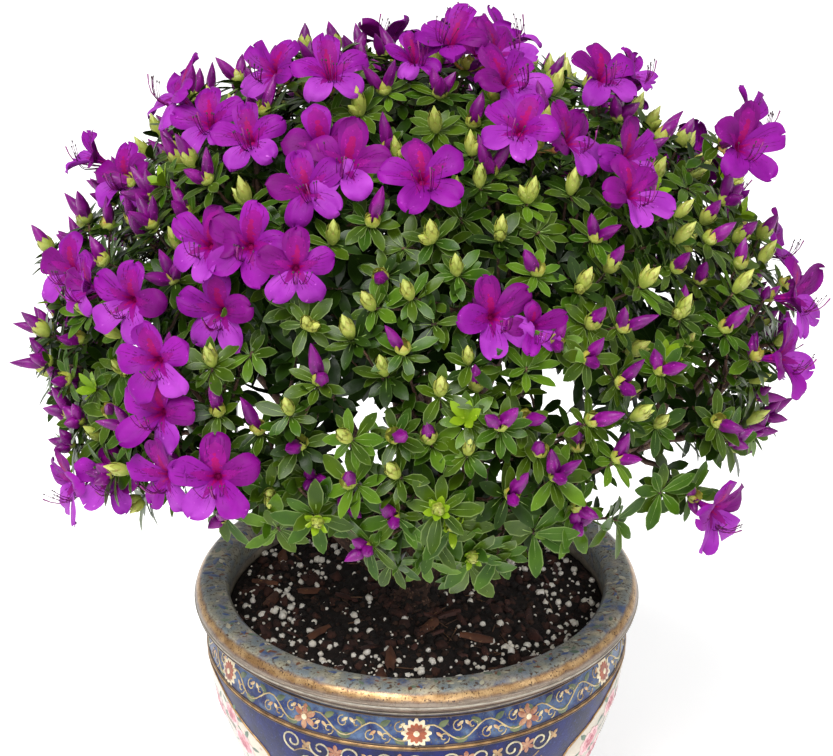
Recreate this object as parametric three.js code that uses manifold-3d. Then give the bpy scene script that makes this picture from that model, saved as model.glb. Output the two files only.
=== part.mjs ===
// A potted azalea shrub in flower: a glazed bowl planter filled with potting mix, a short trunk with
// its boughs, and a rounded crown of leafy twigs that carry buds and open blossoms.
// Millimetres, +Z up. The origin is the centre of the pot's flat underside, and -Y is the shrub's front.
import * as THREE from "three";
import { mergeVertices } from "three/addons/utils/BufferGeometryUtils.js";
import Module from "manifold-3d";

const wasm = await Module();
wasm.setup();

// ---- Driving dimensions ----
const CLEARANCE = 0.3; // between pieces that touch

const POT_HEIGHT = 255;
const FOOT_RADIUS = 98;
const BELLY_RADIUS = 163;
const RIM_RADIUS = 171;
const MOUTH_RADIUS = 145;
const WALL = 12;
const POT_SIDES = 28;
const SOIL_EDGE_Z = 227;
const SOIL_TOP_Z = 231;

const TRUNK_FOOT_RADIUS = 23;
const TRUNK_RADIUS = 13;
const TRUNK_TIP_RADIUS = 9.5;
const FORK_Z = 266; // the boughs part from the trunk about here
const TRUNK_TIP_Z = 300;
const TRUNK_LEAN = new THREE.Vector3(4, -3, 0);
const FLARE_SHARE = 0.4; // of the trunk's height
const TRUNK_SIDES = 10;
const TRUNK_STEPS = 6;

// Boughs of each ring: heights on the trunk's axis where odd and even ones start, and end radii.
const BOUGH_STARTS = { low: [243, 256], mid: [268, 281], top: [292, 292] };
const BOUGH_RADII = { low: [5, 3.8], mid: [4.7, 3.8], top: [5.2, 3.8] };
const BOUGH_SIDES = 6;
const BOUGH_STEPS = 4;

const CROWN_CENTRE_Z = 452;
const SHOOT_REACH = { side: 264, depth: 236, up: 206, down: 190 }; // crown centre to shoot tips
const LOWEST_SHOOT = -30; // degrees of elevation round the crown
const FRONT_LIFT = 14; // degrees by which the skirt is higher in front
const BOUGH_SHARE = 0.47; // share of the way from fork to crown surface that a bough covers
const STEM_SHARE = 0.78; // where the stem inside a mass ends
const SPIRAL_SHOOTS = 80;
const GOLDEN_ANGLE = 180 * (3 - Math.sqrt(5));
const TRUSS_SPACE = 48; // no plain shoot ends nearer than this to an open truss of the front

const LEAF_LENGTH = 62;
const LEAF_WIDTH = 27;
const LEAF_THICKNESS = 1.9;
const LEAVES_PER_WHORL = 5; // and one less under an open blossom
const BLOSSOM_RADIUS = 34;
const BLOSSOM_DEPTH = 27;
const BUD_LENGTH = 27;
const BUD_RADIUS = 6;

// Rings of foliage masses, from the skirt to the top: how many, and where they lie round the crown.
const RINGS = [
  { name: "low", masses: 8, elevation: 3, turn: 12 },
  { name: "mid", masses: 5, elevation: 45, turn: 30, core: { broad: 80, deep: 20 } },
  { name: "top", masses: 1, elevation: 90, turn: 0, core: { broad: 78, deep: 20 } },
];

// Trusses in full bloom on the front half: azimuth and elevation round the crown, in degrees.
const FRONT_TRUSSES = [
  [-80, 68],
  [-80, 54],
  [-48, 56],
  [-33, 66],
  [-22, 53],
  [-72, 39],
  [-68, 27],
  [-50, 26],
  [-36, 38],
  [-24, 37],
  [-26, 25],
  [-38, 18],
  [-36, 8],
  [-49, -5],
  [-31, 0],
  [100, 80],
  [-8, 78],
  [38, 62],
  [100, 64],
  [45, 47],
  [95, 36],
  [64, 17],
  [52, 10],
  [44, -12],
  [11, 27],
  [2, 53],
];
const BACK_BLOOM = 0.32; // share of the shoots on the back half that are in full bloom

// ---- Helpers ----
const radians = THREE.MathUtils.degToRad;
const UP = new THREE.Vector3(0, 0, 1);

// A repeatable number from 0 to 1 for the pair (a, b).
function chance(a, b) {
  const s = Math.sin(a * 12.9898 + b * 78.233) * 43758.5453;
  return s - Math.floor(s);
}

// The solid of a closed three.js geometry.
function solidOf(geometry) {
  const shape = geometry.index ? geometry.toNonIndexed() : geometry.clone();
  shape.deleteAttribute("normal");
  shape.deleteAttribute("uv");
  const merged = mergeVertices(shape, 1e-4);
  const mesh = new wasm.Mesh({
    numProp: 3,
    vertProperties: new Float32Array(merged.attributes.position.array),
    triVerts: new Uint32Array(merged.index.array),
  });
  return new wasm.Manifold(mesh);
}

// The geometry of a solid. Ends of edges too short to matter are welded into one point, and the
// faces that this closes up are dropped.
const SHORTEST_EDGE = 0.02;
function geometryOf(solid) {
  const mesh = solid.getMesh();
  const points = [];
  for (let i = 0; i < mesh.vertProperties.length; i += 3) {
    points.push(new THREE.Vector3().fromArray(mesh.vertProperties, i));
  }
  const welds = points.map((_, i) => i);
  const welded = (i) => (welds[i] === i ? i : welded(welds[i]));
  mesh.triVerts.forEach((from, i) => {
    const to = mesh.triVerts[i % 3 === 2 ? i - 2 : i + 1];
    if (points[from].distanceTo(points[to]) < SHORTEST_EDGE) welds[welded(from)] = welded(to);
  });
  const faces = new Map();
  for (let i = 0; i < mesh.triVerts.length; i += 3) {
    const face = Array.from(mesh.triVerts.subarray(i, i + 3), welded);
    const corners = [...face].sort((a, b) => a - b).join();
    if (new Set(face).size < 3) continue;
    if (!faces.delete(corners)) faces.set(corners, face);
  }
  const geometry = new THREE.BufferGeometry();
  geometry.setAttribute("position", new THREE.BufferAttribute(mesh.vertProperties, 3));
  geometry.setIndex([...faces.values()].flat());
  geometry.computeVertexNormals();
  return geometry;
}

// Moves each vertex of a geometry to what place(x, y, z) returns.
function moulded(geometry, place) {
  const position = geometry.attributes.position;
  for (let i = 0; i < position.count; i++) {
    const to = place(position.getX(i), position.getY(i), position.getZ(i));
    position.setXYZ(i, to.x, to.y, to.z);
  }
  return geometry;
}

// A closed tapering limb: a cylinder whose rings are moved onto a curve.
function limb(curve, radiusAt, sides, steps) {
  const frames = curve.computeFrenetFrames(steps, false);
  return moulded(new THREE.CylinderGeometry(1, 1, 1, sides, steps), (x, y, z) => {
    const step = Math.round((y + 0.5) * steps);
    const share = step / steps;
    return curve
      .getPointAt(share)
      .addScaledVector(frames.binormals[step], x * radiusAt(share))
      .addScaledVector(frames.normals[step], z * radiusAt(share));
  });
}

const taper = (from, to) => (share) => from + (to - from) * share;

// A unit vector square to the axis, turned round it by an angle in radians.
function squareTo(axis, angle) {
  const guide = Math.abs(axis.z) > 0.9 ? new THREE.Vector3(1, 0, 0) : UP;
  return new THREE.Vector3().crossVectors(guide, axis).normalize().applyAxisAngle(axis, angle);
}

// ---- Pot and potting mix ----
// The pot's side, from foot to shoulder, as radius and height.
const belly = new THREE.SplineCurve([
  new THREE.Vector2(FOOT_RADIUS + 1, 12),
  new THREE.Vector2(113, 50),
  new THREE.Vector2(131, 90),
  new THREE.Vector2(148, 132),
  new THREE.Vector2(159, 170),
  new THREE.Vector2(BELLY_RADIUS, 203),
  new THREE.Vector2(159, 226),
]);
const BELLY_STEPS = 6;
const FLOOR_Z = 14;

// Inside of the wall, as radius and height from the soil's edge down to the floor, moved in by gap.
function insideProfile(gap) {
  return [
    new THREE.Vector2(MOUTH_RADIUS + 1 - gap, SOIL_EDGE_Z),
    new THREE.Vector2(BELLY_RADIUS - WALL - gap, 200),
    new THREE.Vector2(131 - WALL - gap, 96),
    new THREE.Vector2(FOOT_RADIUS - 8 - gap, FLOOR_Z + gap),
  ];
}

// A profile of radius and height, turned about the upright axis.
function turned(profile) {
  return new THREE.LatheGeometry(profile, POT_SIDES).rotateX(Math.PI / 2);
}

function pot() {
  const outside = [
    new THREE.Vector2(0, 0),
    new THREE.Vector2(FOOT_RADIUS, 0),
    new THREE.Vector2(FOOT_RADIUS + 2.5, 5),
    ...belly.getPoints(BELLY_STEPS),
    new THREE.Vector2(155.5, 232),
    new THREE.Vector2(158, 236),
    new THREE.Vector2(RIM_RADIUS - 2, 239),
    new THREE.Vector2(RIM_RADIUS, 246),
    new THREE.Vector2(RIM_RADIUS - 4, 252.5),
    new THREE.Vector2(RIM_RADIUS - 10, POT_HEIGHT),
    new THREE.Vector2(MOUTH_RADIUS + 4, POT_HEIGHT - 1),
    new THREE.Vector2(MOUTH_RADIUS, POT_HEIGHT - 5),
  ];
  return turned([...outside, ...insideProfile(0), new THREE.Vector2(0, FLOOR_Z)]);
}

function pottingMix() {
  const gap = CLEARANCE + 0.1;
  return turned([
    new THREE.Vector2(0, FLOOR_Z + gap),
    ...insideProfile(gap).reverse(),
    new THREE.Vector2(90, SOIL_TOP_Z - 1.5),
    new THREE.Vector2(TRUNK_FOOT_RADIUS + 8, SOIL_TOP_Z),
    new THREE.Vector2(0, SOIL_TOP_Z),
  ]);
}

// ---- Trunk ----
const trunkFoot = new THREE.Vector3(0, 0, SOIL_TOP_Z + CLEARANCE);
const trunkTip = new THREE.Vector3(0, 0, TRUNK_TIP_Z).add(TRUNK_LEAN);
const fork = new THREE.Vector3(0, 0, FORK_Z).addScaledVector(TRUNK_LEAN, 0.6);

// The trunk's radius at a share of its height: it tapers, and flares out at its root.
function trunkRadius(share) {
  const flare = Math.max(0, 1 - share / FLARE_SHARE) ** 2;
  return taper(TRUNK_RADIUS, TRUNK_TIP_RADIUS)(share) + (TRUNK_FOOT_RADIUS - TRUNK_RADIUS) * flare;
}

// The trunk, swollen by extra all over.
function trunk(extra) {
  const height = trunkTip.z - trunkFoot.z;
  return moulded(new THREE.CylinderGeometry(1, 1, 1, TRUNK_SIDES, TRUNK_STEPS), (x, y, z) => {
    const share = y + 0.5;
    const radius = trunkRadius(share) + extra;
    const end = (share === 0 ? -extra : 0) + (share === 1 ? extra : 0);
    const centre = new THREE.Vector3(0, 0, trunkFoot.z + share * height + end);
    return centre.addScaledVector(TRUNK_LEAN, share).add(new THREE.Vector3(z * radius, x * radius, 0));
  });
}

// ---- Crown ----
// A point of the surface where shoots end. Azimuth 0 is the front and 90 the right.
function crownPoint(azimuth, elevation, reach) {
  const a = radians(azimuth);
  const e = radians(elevation);
  const rise = elevation > 0 ? SHOOT_REACH.up : SHOOT_REACH.down;
  const across = SHOOT_REACH.side * Math.cos(e) * Math.sin(a);
  const back = -SHOOT_REACH.depth * Math.cos(e) * Math.cos(a);
  const outward = new THREE.Vector3(across, back, rise * Math.sin(e));
  return outward.multiplyScalar(reach).add(new THREE.Vector3(0, 0, CROWN_CENTRE_Z));
}

// Each mass owns the cone of space, with its point at the fork, in which its heart is the nearest.
const masses = [];
for (const ring of RINGS) {
  for (let i = 0; i < ring.masses; i++) {
    const azimuth = ring.turn + (360 * i) / ring.masses + 7 * (chance(i, ring.masses) - 0.5);
    const heart = crownPoint(azimuth, ring.elevation, 1);
    const aim = heart.clone().sub(fork).normalize();
    const name = ring.masses > 1 ? `${ring.name}_${i + 1}` : ring.name;
    masses.push({ name, ring, index: masses.length, heart, aim, shoots: [] });
  }
}

function ownerOf(point) {
  const way = point.clone().sub(fork);
  return masses.reduce((best, mass) => (way.dot(mass.aim) > way.dot(best.aim) ? mass : best));
}

// How far inside the mass's own space a point lies.
function depthInside(mass, point) {
  const way = point.clone().sub(fork);
  const others = masses.filter((other) => other !== mass);
  return Math.min(...others.map((other) => way.dot(mass.aim.clone().sub(other.aim).normalize())));
}

// Whether a whole geometry keeps to the mass's own space.
function keepsTo(mass, geometry) {
  const position = geometry.attributes.position;
  const point = new THREE.Vector3();
  for (let i = 0; i < position.count; i++) {
    if (depthInside(mass, point.fromBufferAttribute(position, i)) < CLEARANCE) return false;
  }
  return true;
}

// The shoots that end on the crown's surface: the front's open trusses, then a golden spiral of
// shoots over the whole crown, from its top down to its skirt.
function shoots() {
  const found = FRONT_TRUSSES.map(([azimuth, elevation]) => ({
    open: true,
    end: crownPoint(azimuth, elevation, 1),
  }));
  const trusses = [...found];
  for (let i = 0; i < SPIRAL_SHOOTS; i++) {
    const rise = 1 - ((i + 0.5) / SPIRAL_SHOOTS) * (1 - Math.sin(radians(LOWEST_SHOOT)));
    const elevation = THREE.MathUtils.radToDeg(Math.asin(rise));
    const azimuth = (i * GOLDEN_ANGLE) % 360;
    const front = Math.cos(radians(azimuth));
    if (elevation < LOWEST_SHOOT + FRONT_LIFT * Math.max(0, front)) continue;
    const end = crownPoint(azimuth, elevation, 0.94 + 0.08 * chance(i, 3));
    if (trusses.some((truss) => truss.end.distanceTo(end) < TRUSS_SPACE)) continue;
    found.push({ open: front < -0.1 && chance(i, 5) < BACK_BLOOM, end });
  }
  return found;
}

// A shoot that would end at the edge of its mass's space is drawn in towards the middle of it.
const EDGE_SPACE = 20;
shoots().forEach(({ open, end }, number) => {
  const mass = ownerOf(end);
  const places = [0, 0.1, 0.2, 0.3].map((share) => end.clone().lerp(mass.heart, share));
  const place = places.find((point) => depthInside(mass, point) > EDGE_SPACE) ?? places.at(-1);
  mass.shoots.push({ open, end: place, number });
});

// ---- Boughs ----
// A bough leaves the trunk and rises to where its mass begins, with one slow crook in it.
function boughCurve(mass) {
  const startZ = BOUGH_STARTS[mass.ring.name][mass.index % 2];
  const height = (startZ - trunkFoot.z) / (trunkTip.z - trunkFoot.z);
  const start = new THREE.Vector3(0, 0, startZ).addScaledVector(TRUNK_LEAN, height);
  const end = fork.clone().lerp(mass.heart, BOUGH_SHARE);
  const length = start.distanceTo(end);
  const crook = squareTo(mass.aim, 0).multiplyScalar(length * 0.05 * (chance(mass.index, 7) - 0.5));
  const lower = start.clone().lerp(end, 0.33).addScaledVector(UP, -length * 0.05).add(crook);
  const upper = start.clone().lerp(end, 0.68).addScaledVector(UP, -length * 0.02).sub(crook);
  return new THREE.CatmullRomCurve3([start, lower, upper, end]);
}

function bough(mass) {
  const [root, tip] = BOUGH_RADII[mass.ring.name];
  const whole = solidOf(limb(boughCurve(mass), taper(root, tip), BOUGH_SIDES, BOUGH_STEPS));
  return whole.subtract(solidOf(trunk(CLEARANCE)));
}

// ---- Foliage masses ----
const STEM_SIDES = 5;
const TWIG_SIDES = 3;
const TWIG_RADII = [2.6, 2.9];

// The stem of a mass goes on from its bough's tip, clear of it, towards the mass's heart.
function stemCurve(mass) {
  const boughRoute = boughCurve(mass);
  const onward = boughRoute.getTangentAt(1);
  const start = boughRoute.getPointAt(1).addScaledVector(onward, CLEARANCE);
  const end = fork.clone().lerp(mass.heart, STEM_SHARE);
  const middle = start.clone().addScaledVector(onward, start.distanceTo(end) * 0.45);
  return new THREE.QuadraticBezierCurve3(start, middle, end);
}

// A twig leaves the stem lower down the further its shoot lies from the stem's own line.
function twigCurve(mass, stem, end) {
  const spread = end.clone().sub(fork).angleTo(mass.aim);
  const share = THREE.MathUtils.clamp(1 - spread / radians(26), 0.12, 0.97);
  const start = stem.getPointAt(share);
  const onward = stem.getTangentAt(share);
  const middle = start.clone().addScaledVector(onward, start.distanceTo(end) * 0.35);
  return new THREE.QuadraticBezierCurve3(start, middle, end);
}

// The way a shoot faces: partly on along its twig, partly out of the crown, and a little upwards.
function facing(shoot, twig) {
  const outward = shoot.end.clone().sub(new THREE.Vector3(0, 0, CROWN_CENTRE_Z)).normalize();
  const onward = twig.getTangentAt(1).multiplyScalar(0.45);
  return onward.addScaledVector(outward, 0.75).addScaledVector(UP, 0.3).normalize();
}

// A leaf of eight faces: an octahedron drawn out from root to tip, folded up along its midrib and
// arched down towards its tip.
function leaf(root, along, up, length, width) {
  const side = new THREE.Vector3().crossVectors(along, up).normalize();
  const over = new THREE.Vector3().crossVectors(side, along);
  return moulded(new THREE.OctahedronGeometry(1), (x, y, z) => {
    const share = 0.54 + (y < 0 ? 0.54 : 0.46) * y;
    const lift = 0.5 * LEAF_THICKNESS * z + length * (0.05 * Math.abs(x) - 0.1 * share * share);
    return root
      .clone()
      .addScaledVector(along, length * share)
      .addScaledVector(side, 0.5 * width * x)
      .addScaledVector(over, lift);
  });
}

// A pointed bud of eight faces.
function bud(root, along) {
  const side = squareTo(along, 0);
  const other = new THREE.Vector3().crossVectors(along, side);
  return moulded(new THREE.OctahedronGeometry(1), (x, y, z) =>
    root
      .clone()
      .addScaledVector(along, BUD_LENGTH * (0.4 + (y < 0 ? 0.4 : 0.6) * y))
      .addScaledVector(side, BUD_RADIUS * z)
      .addScaledVector(other, BUD_RADIUS * x),
  );
}

// An open blossom: a flat ball whose edge is drawn out into five lobes with notches between them,
// whose underside runs down to the root, and whose top is pushed down into the throat.
const LOBE_POINTS = [
  { radius: 0.6, height: 0.62 },
  { radius: 1, height: 0.92 },
  { radius: 1, height: 0.92 },
];
function blossom(root, along, turn, size) {
  const side = squareTo(along, turn);
  const other = new THREE.Vector3().crossVectors(side, along);
  const points = 5 * LOBE_POINTS.length;
  return moulded(new THREE.SphereGeometry(1, points, 2), (x, y, z) => {
    if (y < -0.5) return root.clone();
    if (y > 0.5) return root.clone().addScaledVector(along, 0.25 * BLOSSOM_DEPTH);
    const number = Math.round((Math.atan2(z, x) / (2 * Math.PI) + 1) * points);
    const lobe = LOBE_POINTS[number % LOBE_POINTS.length];
    return root
      .clone()
      .addScaledVector(along, BLOSSOM_DEPTH * lobe.height * size)
      .addScaledVector(side, BLOSSOM_RADIUS * lobe.radius * size * x)
      .addScaledVector(other, BLOSSOM_RADIUS * lobe.radius * size * z);
  });
}

const pointBelowEnd = (route, distance) => route.getPointAt(1 - distance / route.getLength());

// The leaves that stand round a shoot's end, each as a list of ever smaller ones to try.
const SIZES = [1, 0.86, 0.72];
const LEAF_STEP = 4; // from one leaf's root to the next, along the twig
function whorl({ shoot, route, face }) {
  const count = shoot.open ? LEAVES_PER_WHORL - 1 : LEAVES_PER_WHORL;
  const first = 6 * chance(shoot.number, 11);
  return Array.from({ length: count }, (_, i) => {
    const turn = first + radians(GOLDEN_ANGLE) * i + 0.3 * chance(shoot.number, 20 + i);
    const pitch = radians(shoot.open ? -4 : 14) + 0.3 * (chance(shoot.number, 30 + i) - 0.5);
    const across = squareTo(face, turn).multiplyScalar(Math.cos(pitch));
    const along = across.addScaledVector(face, Math.sin(pitch));
    const root = pointBelowEnd(route, LEAF_STEP * (i + 1));
    return SIZES.map((size) => leaf(root, along, face, LEAF_LENGTH * size, LEAF_WIDTH * size));
  });
}

// What a shoot ends in: a blossom, as large as there is room for, or a bud.
function heads({ shoot, route, face }) {
  const base = pointBelowEnd(route, 2);
  const buds = [bud(base, face)];
  if (!shoot.open) return buds;
  return [...SIZES.map((size) => blossom(base, face, 6 * chance(shoot.number, 60), size)), ...buds];
}

// The dense inside of a mass in the upper crown, which its twigs and leaves stand out of: a broad
// lens, bent to the crown's own curve.
const CORE_DEPTH_SHARE = 0.82;
const CORE_CURVE = 190;
function core(mass) {
  const middle = fork.clone().lerp(mass.heart, CORE_DEPTH_SHARE);
  const side = squareTo(mass.aim, 0);
  const other = new THREE.Vector3().crossVectors(side, mass.aim);
  const { broad, deep } = mass.ring.core;
  return moulded(new THREE.SphereGeometry(1, 9, 4), (x, y, z) =>
    middle
      .clone()
      .addScaledVector(mass.aim, deep * y - (broad * broad * (x * x + z * z)) / (2 * CORE_CURVE))
      .addScaledVector(side, broad * x)
      .addScaledVector(other, broad * z),
  );
}

const union = (solids) => solids.reduce((whole, solid) => whole.add(solid));

// The first of some geometries that keeps to the mass's space and meets no obstacle, as a solid.
function firstFitting(mass, choices, obstacles) {
  for (const choice of choices) {
    if (!keepsTo(mass, choice)) continue;
    const solid = solidOf(choice);
    if (obstacles.every((obstacle) => solid.intersect(obstacle).isEmpty())) return [solid];
  }
  return [];
}

// A mass is its stem, its core if it has one, a twig for each shoot, and the heads and leaves that
// find room there. A head or leaf meets nothing but its own twig.
function foliage(mass) {
  const [root, tip] = BOUGH_RADII[mass.ring.name];
  const swollen = taper(root + CLEARANCE, tip + CLEARANCE);
  const guard = solidOf(limb(boughCurve(mass), swollen, BOUGH_SIDES, BOUGH_STEPS));
  const stem = stemCurve(mass);
  const inside = [solidOf(limb(stem, taper(tip - 0.2, 2.6), STEM_SIDES, 3))];
  if (mass.ring.core) inside.push(solidOf(core(mass)));
  const twigs = [];
  for (const shoot of mass.shoots) {
    const route = twigCurve(mass, stem, shoot.end);
    const wood = firstFitting(mass, [limb(route, taper(...TWIG_RADII), TWIG_SIDES, 2)], [guard]);
    if (wood.length) twigs.push({ shoot, route, wood: wood[0], face: facing(shoot, route) });
  }
  const grown = [];
  const grow = (twig, choices) => {
    const woods = twigs.filter((other) => other !== twig).map((other) => other.wood);
    grown.push(...firstFitting(mass, choices, [guard, ...inside, ...woods, ...grown]));
  };
  for (const twig of twigs) grow(twig, heads(twig));
  for (const twig of twigs) {
    for (const leaves of whorl(twig)) grow(twig, leaves);
  }
  return union([...inside, ...twigs.map((twig) => twig.wood), ...grown]);
}

// ---- Assembly ----
const glaze = new THREE.MeshStandardMaterial({ color: 0x4a5f86, roughness: 0.3, metalness: 0 });
const mix = new THREE.MeshStandardMaterial({ color: 0x2a1d18, roughness: 1, metalness: 0 });
const bark = new THREE.MeshStandardMaterial({ color: 0x4d3527, roughness: 0.9, metalness: 0 });
const leafGreen = new THREE.MeshStandardMaterial({ color: 0x3f6b2f, roughness: 0.5, metalness: 0 });

function piece(name, geometry, material) {
  const made = new THREE.Mesh(geometry, material);
  made.name = name;
  return made;
}

const azalea = new THREE.Group();
azalea.add(piece("pot", pot(), glaze));
azalea.add(piece("potting_mix", pottingMix(), mix));
azalea.add(piece("trunk", trunk(0), bark));
for (const mass of masses) {
  azalea.add(piece(`bough_${mass.name}`, geometryOf(bough(mass)), bark));
  azalea.add(piece(`foliage_${mass.name}`, geometryOf(foliage(mass)), leafGreen));
}

export default azalea;
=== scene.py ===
"""A potted azalea shrub in flower, built round its CAD frame, in metres and +Z up.

The pot comes first, then what is painted on it and what fills it, then the wood, the leaves, the
buds and the blossoms, and last the floor, the lights and the camera.
"""
import math

import bpy
import numpy as np
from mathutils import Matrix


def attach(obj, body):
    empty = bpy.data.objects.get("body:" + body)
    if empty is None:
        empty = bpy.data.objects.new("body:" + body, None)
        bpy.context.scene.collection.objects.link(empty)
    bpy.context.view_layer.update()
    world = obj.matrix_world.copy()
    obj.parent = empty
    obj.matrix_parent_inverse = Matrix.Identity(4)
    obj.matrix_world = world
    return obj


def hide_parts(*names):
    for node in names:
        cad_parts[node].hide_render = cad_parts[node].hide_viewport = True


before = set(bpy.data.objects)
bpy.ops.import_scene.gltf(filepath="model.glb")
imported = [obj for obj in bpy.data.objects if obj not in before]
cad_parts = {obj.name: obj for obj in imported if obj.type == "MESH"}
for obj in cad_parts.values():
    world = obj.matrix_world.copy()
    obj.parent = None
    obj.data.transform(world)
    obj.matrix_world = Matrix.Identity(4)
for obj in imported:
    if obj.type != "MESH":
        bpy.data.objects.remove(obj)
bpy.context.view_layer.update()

MM = 0.001


# ---- Pot ----
# Thrown stoneware, about 12 mm thick, with a flat rim that rolls over into a lip. It is glazed
# inside and out: cobalt below, a band of cloudy blue, a worn gold lip and a mottled grey rim.
POT_SIDES = 160
POT_FOOT = [(0, 0), (98, 0), (100.5, 5)]
POT_BELLY = [(99, 12), (113, 50), (131, 90), (148, 132), (159, 170), (163, 203), (159, 226)]
POT_LIP = [(155.5, 232), (158, 236), (169, 239), (171, 246), (167, 252.5), (161, 255)]
POT_RIM = [(149, 254), (145, 250)]
POT_INSIDE = [(146, 227), (151, 200), (119, 96), (90, 14)]
BAND_FOOT_Z = 204
BAND_TOP_Z = 228
NECK_TOP_Z = 248.0
LIP_TOP_Z = 252.2
RIM_TOP_Z = 255
RIM_SHARE = 0.047  # of the profile, from the rim's highest line to the glaze inside


def through(points, steps):
    """Points on a smooth curve through the given ones. Each span is a cubic whose slope at a
    point is half the way from the point before it to the point after it."""
    points = np.asarray(points, float)
    before = 2 * points[:1] - points[1:2]
    after = 2 * points[-1:] - points[-2:-1]
    run = np.concatenate([before, points, after])
    t = np.linspace(0, 1, steps, endpoint=False)[:, None]
    spans = []
    for a, b, c, d in zip(run, run[1:], run[2:], run[3:]):
        slope, bend, twist = (c - a) / 2, a - 2.5 * b + 2 * c - d / 2, (3 * b - a - 3 * c + d) / 2
        spans.append(b + slope * t + bend * t**2 + twist * t**3)
    return np.concatenate([*spans, points[-1:]])


def ring_faces(rings, sides):
    """The faces of a closed run of rings: quads between neighbours, and a fan at each end. The
    first ring's fan meets in the point after all the rings', the last ring's in the next one."""
    index = np.arange(rings * sides).reshape(rings, sides)
    after = np.roll(index, -1, axis=1)
    quads = np.stack([index[:-1], after[:-1], after[1:], index[1:]], axis=-1).reshape(-1, 4)
    foot, top = np.full(sides, rings * sides), np.full(sides, rings * sides + 1)
    below = np.stack([foot, after[0], index[0]], axis=-1)
    above = np.stack([top, index[-1], after[-1]], axis=-1)
    return quads, np.concatenate([below, above])


def turned(profile, sides):
    """A closed shape turned about Z. The profile is radius and height, from its foot on the axis
    over the outside to its end on the axis. Every point between them is drawn out into a ring."""
    turn = 2 * np.pi * np.arange(sides) / sides
    radius = profile[1:-1, :1]
    height = np.broadcast_to(profile[1:-1, 1:], (len(profile) - 2, sides))
    rings = np.stack([radius * np.sin(turn), -radius * np.cos(turn), height], axis=-1)
    ends = np.array([[0, 0, profile[0, 1]], [0, 0, profile[-1, 1]]])
    return np.concatenate([rings.reshape(-1, 3), ends]), list(ring_faces(len(rings), sides))


def piece(name, points, faces, finish, slot, fields=None, sharp=None, replaces=()):
    """Makes a piece of the object from arrays. Faces are one array, or a list of arrays with
    different numbers of corners. Fields are numbers for each point that its finish may read."""
    groups = faces if isinstance(faces, list) else [faces]
    corners = np.concatenate([group.ravel() for group in groups])
    sizes = np.concatenate([np.full(len(group), group.shape[1]) for group in groups])
    mesh = bpy.data.meshes.new(name)
    mesh.vertices.add(len(points))
    mesh.vertices.foreach_set("co", np.asarray(points, np.float32).ravel())
    mesh.loops.add(len(corners))
    mesh.loops.foreach_set("vertex_index", corners.astype(np.int32))
    mesh.polygons.add(len(sizes))
    mesh.polygons.foreach_set("loop_start", (np.cumsum(sizes) - sizes).astype(np.int32))
    for label, values in (fields or {}).items():
        field = mesh.attributes.new(label, "FLOAT", "POINT")
        field.data.foreach_set("value", np.asarray(values, np.float32).ravel())
    mesh.update(calc_edges=True)
    mesh.shade_smooth()
    if sharp:
        mesh.set_sharp_from_angle(angle=math.radians(sharp))
    mesh.materials.append(finish)
    made = bpy.data.objects.new(name, mesh)
    bpy.context.collection.objects.link(made)
    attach(made, "root")
    if replaces:
        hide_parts(*replaces)
    return made


def colour(red, green, blue):
    """The linear colour that a screen shows for values from 0 to 255."""
    shown = np.array([red, green, blue]) / 255
    linear = np.where(shown <= 0.04045, shown / 12.92, ((shown + 0.055) / 1.055) ** 2.4)
    return (*linear.tolist(), 1.0)


def add(tree, kind, inputs=None, **settings):
    """Adds a node. Inputs are plain values or other nodes' outputs, by the socket's label."""
    made = tree.nodes.new(kind if kind.startswith("Node") else "ShaderNode" + kind)
    for label, value in settings.items():
        setattr(made, label, value)
    for label, value in (inputs or {}).items():
        if isinstance(value, bpy.types.NodeSocket):
            tree.links.new(value, made.inputs[label])
        else:
            made.inputs[label].default_value = value
    return made


def make_mottle():
    """A group: Object coordinates, stretched, drive a coarse and a fine noise. The coarse one
    mixes two colours, the fine one lays flecks of a third over them, and both give a height."""
    tree = bpy.data.node_groups.new("mottle", "ShaderNodeTree")
    wanted = {"Main": "Color", "Second": "Color", "Flecks": "Color", "Scale": "Float",
              "Stretch": "Vector", "Fleck share": "Float"}
    for label, kind in wanted.items():
        tree.interface.new_socket(label, in_out="INPUT", socket_type="NodeSocket" + kind)
    for label, kind in {"Color": "Color", "Height": "Float"}.items():
        tree.interface.new_socket(label, in_out="OUTPUT", socket_type="NodeSocket" + kind)
    given = add(tree, "NodeGroupInput").outputs
    place = add(tree, "TexCoord").outputs["Object"]
    stretched = add(tree, "Mapping", {"Vector": place, "Scale": given["Stretch"]}).outputs[0]
    coarse = add(tree, "TexNoise", {"Vector": stretched, "Scale": given["Scale"], "Detail": 4.0})
    finer = add(tree, "Math", {0: given["Scale"], 1: 6.3}, operation="MULTIPLY").outputs[0]
    fine = add(tree, "TexNoise", {"Vector": stretched, "Scale": finer, "Detail": 3.0})
    mask = add(tree, "MapRange", {"Value": coarse.outputs[0], "From Min": 0.38, "From Max": 0.62})
    edge = add(tree, "Math", {0: 0.74, 1: given["Fleck share"]}, operation="SUBTRACT").outputs[0]
    top = add(tree, "Math", {0: edge, 1: 0.08}, operation="ADD").outputs[0]
    flecks = add(tree, "MapRange", {"Value": fine.outputs[0], "From Min": edge, "From Max": top})
    both = {"Fac": mask.outputs[0], "Color1": given["Main"], "Color2": given["Second"]}
    mixed = add(tree, "MixRGB", both).outputs[0]
    both = {"Fac": flecks.outputs[0], "Color1": mixed, "Color2": given["Flecks"]}
    height = add(tree, "Math", {0: coarse.outputs[0], 1: fine.outputs[0]}, operation="ADD")
    gives = {"Color": add(tree, "MixRGB", both).outputs[0], "Height": height.outputs[0]}
    add(tree, "NodeGroupOutput", gives)
    return tree


mottle = make_mottle()


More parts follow.
